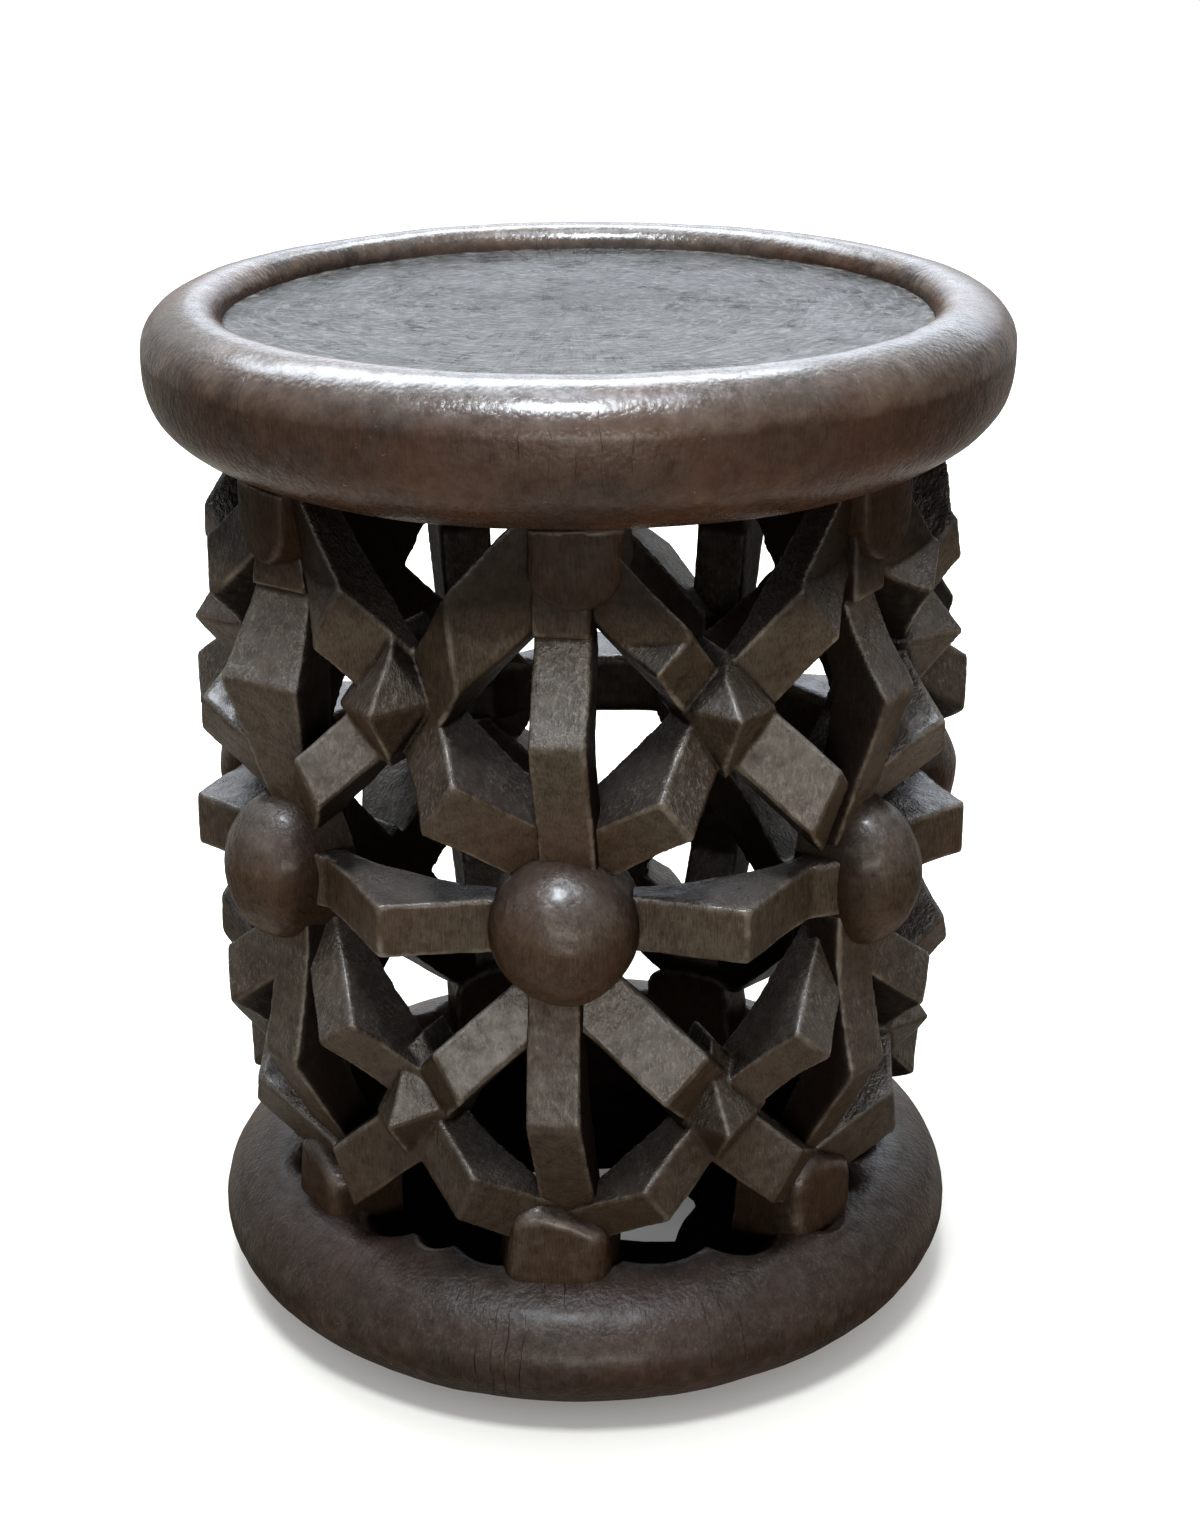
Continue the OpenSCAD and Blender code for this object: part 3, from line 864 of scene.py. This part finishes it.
def placeRound(name, member, fieldOf, angles, wood, node):
    low, step = (-member["half"], member["inner"], member["low"]), member["step"]
    u, d, z = makeGrid(low, (member["half"], member["outer"], member["high"]), step)
    points, quads = meshFromField(fieldOf(u, d, z, member), low, step)
    middleR, middleZ = member["middle"]
    points = points - np.array([0, middleR, middleZ])
    points[:, 1] *= -1
    carved = newObject(name + "Member", points, quads)
    spots, turns, grows = [], [], []
    for k, angle in angles.items():
        draw = np.random.default_rng([seed, k, len(name)])
        change = {"along": 0 * mm, "out": 0 * mm, "up": 0 * mm, "deep": 1.0,
                  **drawn(draw, memberRanges), **member["changes"].get(k, {})}
        at = angle + change["along"] / middleR
        reach = middleR + change["out"]
        spots.append((reach * math.sin(at), -reach * math.cos(at), middleZ + change["up"]))
        turns.append((0, change["tip"], at + change["twist"]))
        grows.append((change["wide"], change["deep"], change["tall"]))
    mesh = bpy.data.meshes.new(name)
    mesh.from_pydata(spots, [], [])
    for label, values in (("turn", turns), ("grow", grows)):
        layer = mesh.attributes.new(label, "FLOAT_VECTOR", "POINT")
        layer.data.foreach_set("vector", np.array(values, dtype=np.float32).ravel())
    piece = bpy.data.objects.new(name, mesh)
    bpy.context.scene.collection.objects.link(piece)
    growMesh(piece, roundTheStool, {"Member": carved, "Material": wood, **member["surface"]})
    bpy.data.objects.remove(carved)
    piece.data.shade_smooth()
    finishPiece(piece, [f"{node}_{k}" for k in angles])
    print(name, "placed:", len(spots))


upperPost = {
    "half": 15 * mm, "inner": 104 * mm, "outer": 172 * mm, "low": 240 * mm, "high": 392 * mm,
    "step": 1.4 * mm, "middle": (150 * mm, 309 * mm),
    "ridgeZ": 309 * mm,
    "topZ": 347 * mm, "topR": 145 * mm,      # its head
    "footZ": 256 * mm, "footR": 149 * mm,
    "brow": 5 * mm,          # how far the mass above the head stands out
    "width": 24 * mm,
    "pinch": 0 * mm,         # how much narrower it is at its ends
    "pinchReach": 66 * mm,   # and how far from the ridge
    "taper": 0.0,            # how much it widens with height
    "thick": 24 * mm,        # how deep the wood is behind the ridge
    "thin": 16 * mm,         # and at its ends
    "gouge": 1.0 * mm,
    "surface": {"Wave Height": 0.45 * mm, "Mark Height": 0.15 * mm, "Seed": 21.0},
    "changes": {1: {"twist": -0.13, "wide": 0.88, "along": 1.0 * mm},
                2: {"twist": 0.13, "along": 3 * mm}},
}
broadColumn = 7
broadPost = {  # a lozenge, and turned towards the front
    **upperPost, "half": 22 * mm, "ridgeZ": 313 * mm, "topZ": 350 * mm, "topR": 146 * mm,
    "footR": 147 * mm, "brow": 3 * mm, "width": 36 * mm, "pinch": 19 * mm,
    "changes": {broadColumn: {"twist": 0.4, "along": 2 * mm}},
}
lowerPost = {
    **upperPost, "inner": 96 * mm, "outer": 168 * mm, "low": 62 * mm, "high": 214 * mm,
    "middle": (145 * mm, 143 * mm), "ridgeZ": 143 * mm, "topZ": 195 * mm, "topR": 150 * mm,
    "footZ": 90 * mm, "footR": 131 * mm, "brow": 0 * mm, "taper": -0.03,
    "surface": {**upperPost["surface"], "Seed": 33.0},
    "changes": {1: {"twist": -0.1, "wide": 0.88, "along": -2.5 * mm}, 2: {"twist": 0.02},
                5: {"along": -5 * mm}, 7: {"twist": 0.08}},
}


def postField(u, d, z, post):
    ridgeZ, topZ, topR = post["ridgeZ"], post["topZ"], post["topR"]
    footZ, footR = post["footZ"], post["footR"]
    ridgeD = barrelAt(ridgeZ)
    climb = (ridgeD - footR) / (ridgeZ - footZ)
    fall = (ridgeD - topR) / (topZ - ridgeZ)
    gouge = post["gouge"] * hump(z, ridgeZ, topZ)
    upper = (d - ridgeD + fall * (z - ridgeZ)) / math.sqrt(1 + fall * fall) + gouge
    lower = (d - ridgeD + climb * (ridgeZ - z)) / math.sqrt(1 + climb * climb)
    field = roundedMax(upper, lower, wall["arris"])
    mass = np.maximum(d - topR - post["brow"], topZ - z)
    field = roundedMin(field, mass, wall["crease"])
    ends = np.clip(np.abs(z - ridgeZ) / post["pinchReach"], 0, 1)
    width = post["width"] - post["pinch"] * ends + post["taper"] * (z - ridgeZ)
    field = roundedMax(field, softAbs(u, mm) - width / 2, wall["arris"])
    above = z > ridgeZ
    outermost = np.where(above, (z - ridgeZ) / (topZ - ridgeZ), (ridgeZ - z) / (ridgeZ - footZ))
    thick = post["thick"] + (post["thin"] - post["thick"]) * np.clip(outermost, 0, 1)
    face = np.where(above, ridgeD - fall * (z - ridgeZ), ridgeD - climb * (ridgeZ - z))
    field = roundedMax(field, np.maximum(face, footR) - thick - d, wall["arris"])
    end = 2 * mm  # inside the block
    return np.maximum(field, np.maximum(post["low"] + end - z, z - post["high"] + end))


plainColumns = {k: angle for k, angle in columnAngles.items() if k != broadColumn}
placeRound("upperPosts", upperPost, postField, plainColumns, latticeWood,
           "upper_post")
placeRound("broadPost", broadPost, postField, {broadColumn: columnAngles[broadColumn]},
           latticeWood, "upper_post")
placeRound("lowerPosts", lowerPost, postField, columnAngles, latticeWood,
           "lower_post")

waistBar = {
    "half": 72 * mm, "inner": 108 * mm, "outer": 174 * mm, "low": 208 * mm, "high": 244 * mm,
    "step": 1.4 * mm, "middle": (150 * mm, stool["waistZ"]),
    "height": 22.5 * mm,
    "reach": 68 * mm,        # how far it goes into the bosses
    "hidden": 22 * mm,       # how much of that is inside the boss
    "gouge": 0.8 * mm,
    "backD": 132 * mm,       # how far from the middle its back face is
    "bow": 14 * mm,          # how much nearer the back is at its ends
    "bowReach": 52 * mm,
    "backRound": 4 * mm,
    "surface": {"Wave Height": 0.5 * mm, "Mark Height": 0.15 * mm, "Seed": 45.0},
    "changes": {2: {"out": 2.5 * mm}, 3: {"up": 2.5 * mm, "tall": 1.2},
                4: {"up": 2.7 * mm, "tall": 1.22, "deep": 1.15}, 6: {"out": 2 * mm}},
}


def barField(u, d, z, bar):
    ridgeD = barrelAt(bar["middle"][1])
    end = columnU(wall["valleyR"]) - bar["hidden"]
    endD = depthAt(wall["valleyR"], end)
    slope = (ridgeD - endD) / end
    front = (d - ridgeD + slope * softAbs(u, 1.2 * mm)) / math.sqrt(1 + slope * slope)
    front = front + bar["gouge"] * hump(np.abs(u), 0, end)
    front = roundedMin(front, d - endD, wall["crease"])
    beyond = softAbs(z - bar["middle"][1], mm) - bar["height"] / 2
    field = roundedMax(front, beyond, wall["arris"])
    bow = bar["bow"] * np.clip(np.abs(u) / bar["bowReach"], 0, 1) ** 3
    field = roundedMax(field, bar["backD"] - bow - d, bar["backRound"])
    return np.maximum(field, np.abs(u) - bar["reach"])


placeRound("waistBars", waistBar, barField, cellAngles, latticeWood, "waist_bar")

upperBoss = {
    "half": 22 * mm, "inner": 124 * mm, "outer": 163 * mm, "low": 354 * mm, "high": 396 * mm,
    "step": 1.2 * mm, "middle": (145 * mm, 376 * mm),
    "r": 16.5 * mm,
    "flare": 0.12,           # how much it widens towards the wall
    "face": 155 * mm,
    "dome": 1.5 * mm,
    "edge": 2.8 * mm,
    "top": 16 * mm,          # how far above its middle it ends in the seat
    "back": 128 * mm,
    "surface": {"Wave Height": 0.5 * mm, "Mark Height": 0.12 * mm, "Seed": 57.0},
    "changes": {1: {"along": 6.2 * mm, "twist": 0.0, "wide": 1.08},
                2: {"along": 7 * mm, "up": 2.5 * mm, "twist": 0.0}, 7: {"wide": 1.05}},
}
middleBoss = {
    "half": 36 * mm, "inner": 122 * mm, "outer": 178 * mm,
    "low": stool["waistZ"] - 38 * mm, "high": stool["waistZ"] + 38 * mm,
    "step": 1.5 * mm, "middle": (150 * mm, stool["waistZ"]),
    "r": 29 * mm,
    "tall": 31.5 * mm,
    "face": 172 * mm,
    "dome": 27 * mm,
    "back": 126 * mm,
    "surface": {"Wave Height": 0.8 * mm, "Wave Size": 30 * mm, "Mark Height": 0.15 * mm,
                "Seed": 69.0},
    "changes": {2: {"along": 10 * mm, "wide": 0.77, "tall": 1.03},
                7: {"along": -9 * mm, "wide": 0.92, "tall": 1.03}},
}
footBoss = {
    "half": 26 * mm, "inner": 104 * mm, "outer": 147 * mm, "low": 40 * mm, "high": 97 * mm,
    "step": 1.3 * mm, "middle": (130 * mm, 68 * mm),
    "back": 108 * mm,
    "foot": 46 * mm,
    "edge": 4.5 * mm,
    "cuts": (                # facets: which way each looks, and a point on it in mm
        ((0, 1, 0.05), (0, 141, 66)), ((0.05, 0.55, 1), (-4, 138, 88)),
        ((0.55, 0.2, 1), (8, 134, 84)), ((1, 0.12, 0), (20, 130, 66)),
        ((-1, 0.1, 0.12), (-20.5, 130, 66)), ((0.8, 0.7, 0), (18, 139, 66)),
        ((-0.85, 0.6, 0.1), (-19.5, 139, 68)), ((-0.7, 0.15, 1), (-17, 132, 86)),
        ((0, 0.45, -1), (0, 138, 50)), ((0.7, 0.5, -1), (15, 137, 54)),
        ((-0.7, 0.5, -1), (-15, 137, 54)), ((0, -0.2, 1), (0, 125, 91))),
    "surface": {"Wave Height": 0.6 * mm, "Mark Height": 0.15 * mm, "Seed": 81.0},
    "changes": {1: {"along": -4.5 * mm, "wide": 1.12, "tall": 1.09, "up": 3 * mm},
                2: {"up": 3.5 * mm, "wide": 1.1, "tall": 1.05}, 7: {"along": -7 * mm}},
}


def tongueField(u, d, z, boss):  # round below, and upright above its middle
    z = z - boss["middle"][1]
    away = np.sqrt(u * u + np.minimum(z, 0) ** 2)
    side = away - boss["r"] - boss["flare"] * (boss["face"] - d)
    face = d - boss["face"] - boss["dome"] * (1 - (away / boss["r"]) ** 2)
    field = roundedMax(side, face, boss["edge"])
    return np.maximum(field, np.maximum(boss["back"] - d, z - boss["top"]))


def domeField(u, d, z, boss):
    across, above = u / boss["r"], (z - boss["middle"][1]) / boss["tall"]
    out = np.maximum(d - boss["face"] + boss["dome"], 0) / boss["dome"]
    field = (np.sqrt(across * across + above * above + out ** 2) - 1) * boss["r"]
    return np.maximum(field, boss["back"] - d)


def blockField(u, d, z, boss):
    field = None
    for way, spot in boss["cuts"]:
        way, spot = np.array(way) / np.linalg.norm(way), np.array(spot) * mm
        plane = (u - spot[0]) * way[0] + (d - spot[1]) * way[1] + (z - spot[2]) * way[2]
        field = plane if field is None else roundedMax(field, plane, boss["edge"])
    return np.maximum(field, np.maximum(boss["back"] - d, boss["foot"] - z))


for name, boss, fieldOf, node in (
        ("upperBosses", upperBoss, tongueField, "upper_boss"),
        ("middleBosses", middleBoss, domeField, "middle_boss"),
        ("footBosses", footBoss, blockField, "foot_boss")):
    placeRound(name, boss, fieldOf, columnAngles, bossWood, node)


# Seat and ring: turned outlines, roughened by hand

def quarter(centre, radii, start, end, count):
    angles = np.radians(np.linspace(start, end, count))
    return np.stack([centre[0] + radii[0] * np.cos(angles),
                     centre[1] + radii[1] * np.sin(angles)], 1)


def evenly(outline, step):  # points at even distances along an outline
    gaps = np.linalg.norm(np.diff(outline, axis=0), axis=1)
    run = np.concatenate([[0], np.cumsum(gaps)])
    at = np.linspace(0, run[-1], max(int(run[-1] / step), 2) + 1)
    return np.stack([np.interp(at, run, outline[:, 0]), np.interp(at, run, outline[:, 1])], 1)


def turnPiece(name, outline, step, spokes, values, shift=None):
    outline = evenly(outline, step)
    angles = np.arange(spokes) * 2 * math.pi / spokes
    r = np.repeat(outline[:, :1], spokes, 1)
    z = np.repeat(outline[:, 1:], spokes, 1)
    a = np.repeat(angles[None], len(outline), 0)
    if shift:
        r, z = shift(r, z, a)
    points = np.stack([r * np.sin(a), -r * np.cos(a), z], 2).reshape(-1, 3)
    rows = np.arange(len(outline) - 1)[:, None] * spokes
    here = np.arange(spokes)[None]
    after = (here + 1) % spokes
    quads = np.stack([rows + here, rows + after, rows + after + spokes, rows + here + spokes], 2)
    piece = newObject(name, points, quads.reshape(-1, 4))
    form = bmesh.new()  # closes the poles and the seam
    form.from_mesh(piece.data)
    bmesh.ops.remove_doubles(form, verts=form.verts, dist=0.01 * mm)
    bmesh.ops.recalc_face_normals(form, faces=form.faces)
    form.to_mesh(piece.data)
    form.free()
    piece.data.shade_smooth()
    growMesh(piece, handCarved, values)
    return piece


def makeSeat():
    floorZ, crestZ, widestZ = stool["floorZ"], stool["crestZ"], stool["widestZ"]
    rimFootZ = floorZ - seat["rimFoot"]
    bowlR = stool["seatR"] - seat["bowlIn"]
    turn = np.radians(np.linspace(0, 90, 60))
    bowl = np.stack([
        bowlR + seat["bowlIn"] * np.cos(turn) ** seat["fullness"],
        widestZ - (widestZ - stool["undersideZ"]) * np.sin(turn) ** seat["fullness"]], 1)
    outline = np.concatenate([
        [[0, rimFootZ], [dishR - seat["rimFootIn"], rimFootZ]],
        quarter((crestR, floorZ), (seat["rimSlope"], crestZ - floorZ), 180, 90, 24),
        quarter((crestR, widestZ), (seat["crestIn"], crestZ - widestZ), 90, 0, 24)[1:],
        bowl[1:], [[0, stool["undersideZ"]]]])
    rim = turnPiece("seatRim", outline, seat["rimStep"], seat["rimSpokes"],
                    {"Material": rimWood, **seat["rimSurface"]})
    finishPiece(rim, ["seat_rim"])

    dishEdge, dishFootZ = dishR + seat["dishLap"], floorZ - seat["dishThick"]
    outline = np.array([[0, floorZ], [dishEdge, floorZ], [dishEdge, dishFootZ], [0, dishFootZ]])
    dish = turnPiece("seatDish", outline, seat["dishStep"], seat["dishSpokes"],
                     {"Material": dishWood, **seat["dishSurface"]})
    finishPiece(dish, ["seat_dish"])
    print("seat turned")


makeSeat()

ring = {
    "wideZ": 32 * mm,        # where it is widest
    "topIn": 44 * mm,        # from there in to its top
    "footIn": 53 * mm,       # and in to where it stands
    "lipR": 128 * mm,
    "lipDrop": 3 * mm,
    "bowlR": 102 * mm,       # the bowl inside it, at the foot of its wall
    "wallZ": 30 * mm,
    "slopeIn": 14 * mm,      # and the slope from there to its floor
    "slopeUp": 5 * mm,
    "floorZ": 14 * mm,
    "holeR": 54 * mm,
    "holeFront": 33 * mm,    # the hole is straight in front and at its left
    "holeLeft": 38 * mm,
    "holeWaist": 3 * mm,     # how much narrower the hole is halfway down, and wider at the foot
    "holeFoot": 2 * mm,
    "holeReach": (84 * mm, 56 * mm),  # its unevenness starts and is whole at these radii
    "waves": ((2.5 * mm, 3, 1), (2 * mm, 7, 2)),  # that unevenness: height, count and start
    "spokes": 560,
    "step": 2.1 * mm,
    # the lip's teeth in degrees from the front, and how deep the hollow after each is in mm
    "teeth": (-46, -32, -23, -7, 10, 27, 44, 58, 71, 90, 104, 121,
              139, 152, 170, 185, 203, 219, 236, 250, 268, 284, 300),
    "bites": (9, 5, 6, 7, 4, 12, 17, 9, 8, 12, 6, 10, 13, 7, 11, 8, 12, 6, 10, 13, 7, 11, 12),
    "biteZ": 20 * mm,        # they fade out down to here
    "biteR": (150 * mm, 130 * mm),  # and start and are whole at these radii
    "biteSink": 0.25,        # how much they lower the lip, as a share of their depth
    "surface": {"Wave Height": 0.7 * mm, "Wave Size": 55 * mm, "Mark Height": 0.15 * mm,
                "Mark Size": 9 * mm, "Seed": 9.0},
}


def biteDepth(a):  # how far the hollows between the lip's teeth cut into the ring
    teeth = np.radians(np.array(ring["teeth"] + (ring["teeth"][0] + 360,)))
    a = (a - teeth[0]) % (2 * math.pi) + teeth[0]
    gap = np.clip(np.searchsorted(teeth, a, side="right") - 1, 0, len(ring["bites"]) - 1)
    across = (a - teeth[gap]) / (teeth[gap + 1] - teeth[gap]) * 2 - 1
    return np.array(ring["bites"])[gap] * mm * (1 - across * across)


def inward(r, reach):  # 0 at the first radius and 1 at the second, which is smaller
    return np.clip((reach[0] - r) / (reach[0] - reach[1]), 0, 1)


def bitten(r, z, a):
    bite = biteDepth(a)
    high = np.clip((z - ring["biteZ"]) / (stool["ringTop"] - ring["biteZ"]), 0, 1)
    near = high * inward(r, ring["biteR"])
    rough = sum(height * np.sin(count * a + start) for height, count, start in ring["waves"])
    edge = np.minimum(ring["holeR"], ring["holeFront"] / np.maximum(np.cos(a), 0.01))
    edge = np.minimum(edge, ring["holeLeft"] / np.maximum(-np.sin(a), 0.01))
    hole = inward(r, ring["holeReach"]) * (rough + edge - ring["holeR"])
    return r + near * bite + hole, z - near * ring["biteSink"] * bite


def makeRing():
    topZ, wideZ, floorZ = stool["ringTop"], ring["wideZ"], ring["floorZ"]
    topR, footR = stool["ringR"] - ring["topIn"], stool["ringR"] - ring["footIn"]
    lipR, bowlR, holeR = ring["lipR"], ring["bowlR"], ring["holeR"]
    lipTurn = math.degrees(math.acos((lipR - topR) / ring["topIn"]))
    outline = np.concatenate([
        quarter((footR, wideZ), (ring["footIn"], wideZ), -90, 0, 30),
        quarter((topR, wideZ), (ring["topIn"], topZ - wideZ), 0, lipTurn, 30)[1:],
        [[lipR - ring["lipDrop"], topZ - ring["lipDrop"]], [bowlR, ring["wallZ"]],
         [bowlR - ring["slopeIn"], floorZ + ring["slopeUp"]], [holeR, floorZ],
         [holeR - ring["holeWaist"], floorZ / 2], [holeR + ring["holeFoot"], 0], [footR, 0]]])
    base = turnPiece("baseRing", outline, ring["step"], ring["spokes"],
                     {"Material": ringWood, **ring["surface"]}, bitten)
    points = readPoints(base.data)
    points[:, 2] = np.maximum(points[:, 2], 0)  # its foot is flat
    base.data.vertices.foreach_set("co", points.ravel())
    finishPiece(base, ["base_ring"])
    print("ring turned")


makeRing()


# Camera

lens = {
    "distance": 1047.875 * mm,   # from the stool's axis
    "height": 654.986 * mm,
    "down": 0.375728,            # pitch, yaw and roll, in radians
    "yaw": -0.003022,
    "roll": -0.009032,
    "azimuth": 3.0,              # degrees from the front column
    "photoHigh": 1513,           # in pixels, as the next two are
    "focal": 2537.401,
    "shift": 25.735,
    "sensor": 36,                # mm
}


def makeCamera():
    down, yaw, roll = lens["down"], lens["yaw"], lens["roll"]
    forward = Vector((math.sin(yaw) * math.cos(down), math.cos(yaw) * math.cos(down),
                      -math.sin(down)))
    right = Vector((math.cos(yaw), -math.sin(yaw), 0))
    up = right.cross(forward)
    c, s = math.cos(roll), math.sin(roll)
    right, up = c * right + s * up, -s * right + c * up
    placed = Matrix((right, up, -forward)).transposed().to_4x4()
    placed.translation = (0, -lens["distance"], lens["height"])
    data = bpy.data.cameras.new("camera")
    camera = bpy.data.objects.new("camera", data)
    bpy.context.scene.collection.objects.link(camera)
    camera.matrix_world = Matrix.Rotation(math.radians(lens["azimuth"]), 4, "Z") @ placed
    data.sensor_width = lens["sensor"]
    data.lens = lens["focal"] / lens["photoHigh"] * lens["sensor"]
    data.shift_x = lens["shift"] / lens["photoHigh"]
    bpy.context.scene.camera = camera


makeCamera()


# Studio: a pale floor, a dim room that the camera sees as white, and six soft lamps

white = (1, 1, 1, 1)
studio = {
    "room": (0.78, 0.86, 1.0, 1),
    "roomStrength": 0.07,
    "floorHalf": 3,                         # metres
    "floorLit": (0.5, 0.41, 0.29, 1),       # what it throws back on the stool
    "floorSeen": (0.85, 0.8, 0.7, 1),
    "shadowR": (0.13, 0.26),                # the floor glows white from here on out
    "shadowGlow": (0.12, 0.97),
}
lamps = {
    "ceiling": {"at": (-0.1, -0.78, 2.25), "to": (0, 0, 0.3), "size": (0.5, 0.4),
                "power": 36, "tint": (0.85, 0.93, 1.0)},
    "front": {"at": (0.15, -2.3, 0.25), "to": (0, 0, 0.3), "size": (1.2, 0.45),
              "power": 19, "tint": (1.0, 0.98, 0.91)},
    "window": {"at": (-0.5, 1.3, 2.1), "to": (0, 0, 0.4), "size": (2.2, 0.75),
               "power": 46, "tint": (0.82, 0.91, 1.0)},
    "overhead": {"at": (0.1, 0.1, 2.4), "to": (0, 0, 0.4), "size": (1.5, 0.4),
                 "power": 9, "tint": (0.8, 0.88, 1.0)},
    "rear": {"at": (0.4, 2.4, 1.2), "to": (0, 0, 0.4), "size": (2.6, 0.8),
             "power": 16, "tint": (0.75, 0.85, 1.0)},
    "side": {"at": (1.9, -1.2, 1.0), "to": (0, 0, 0.2), "size": (0.8, 0.8),
             "power": 2, "tint": (1.0, 0.7, 0.5)},
}


def seenDirectly(tree):  # 1 for camera, mirror and clear-glass rays
    paths = put(tree, "ShaderNodeLightPath")
    seen = larger(tree, paths["Is Camera Ray"], paths["Is Transmission Ray"])
    return larger(tree, seen, paths["Is Glossy Ray"]), paths["Is Camera Ray"]


def makeRoom():
    world = bpy.data.worlds.new("studio")
    bpy.context.scene.world = world
    world.use_nodes = True
    tree = world.node_tree
    room = tree.nodes["Background"]
    feed(tree, room, {"Color": studio["room"], "Strength": studio["roomStrength"]})
    backdrop = put(tree, "ShaderNodeBackground", {"Color": white, "Strength": 1.0})[0]
    both = put(tree, "ShaderNodeMixShader",
               {0: seenDirectly(tree)[0], 1: room.outputs[0], 2: backdrop})[0]
    feed(tree, tree.nodes["World Output"], {"Surface": both})


def makeFloor():
    half = studio["floorHalf"]
    corners = [[-half, -half, 0], [half, -half, 0], [half, half, 0], [-half, half, 0]]
    floor = newObject("floor", np.array(corners, dtype=float), np.array([[0, 1, 2, 3]]))
    material, tree, shader = newMaterial("paleFloor")
    seen, byCamera = seenDirectly(tree)
    feed(tree, shader, {
        "Base Color": blend(tree, byCamera, studio["floorLit"], studio["floorSeen"]),
        "Roughness": 0.8, "Specular IOR Level": 0.2})
    away = vectorMath(tree, "LENGTH", put(tree, "ShaderNodeTexCoord")["Object"])
    glow = times(tree, seen, remap(tree, away, *studio["shadowR"], *studio["shadowGlow"]))
    light = put(tree, "ShaderNodeEmission", {"Color": white, "Strength": glow})[0]
    both = put(tree, "ShaderNodeAddShader", {0: shader.outputs[0], 1: light})[0]
    feed(tree, tree.nodes["Material Output"], {"Surface": both})
    floor.data.materials.append(material)


def hangLamps():
    for name, lamp in lamps.items():
        data = bpy.data.lights.new(name, "AREA")
        data.shape = "RECTANGLE"
        data.size, data.size_y = lamp["size"]
        data.energy = lamp["power"]
        data.color = lamp["tint"]
        holder = bpy.data.objects.new(name, data)
        holder.location = lamp["at"]
        aim = Vector(lamp["to"]) - Vector(lamp["at"])
        holder.rotation_euler = aim.to_track_quat("-Z", "Y").to_euler()
        bpy.context.scene.collection.objects.link(holder)


makeRoom()
makeFloor()
hangLamps()
bpy.context.scene.view_settings.view_transform = "Standard"
print("studio set")
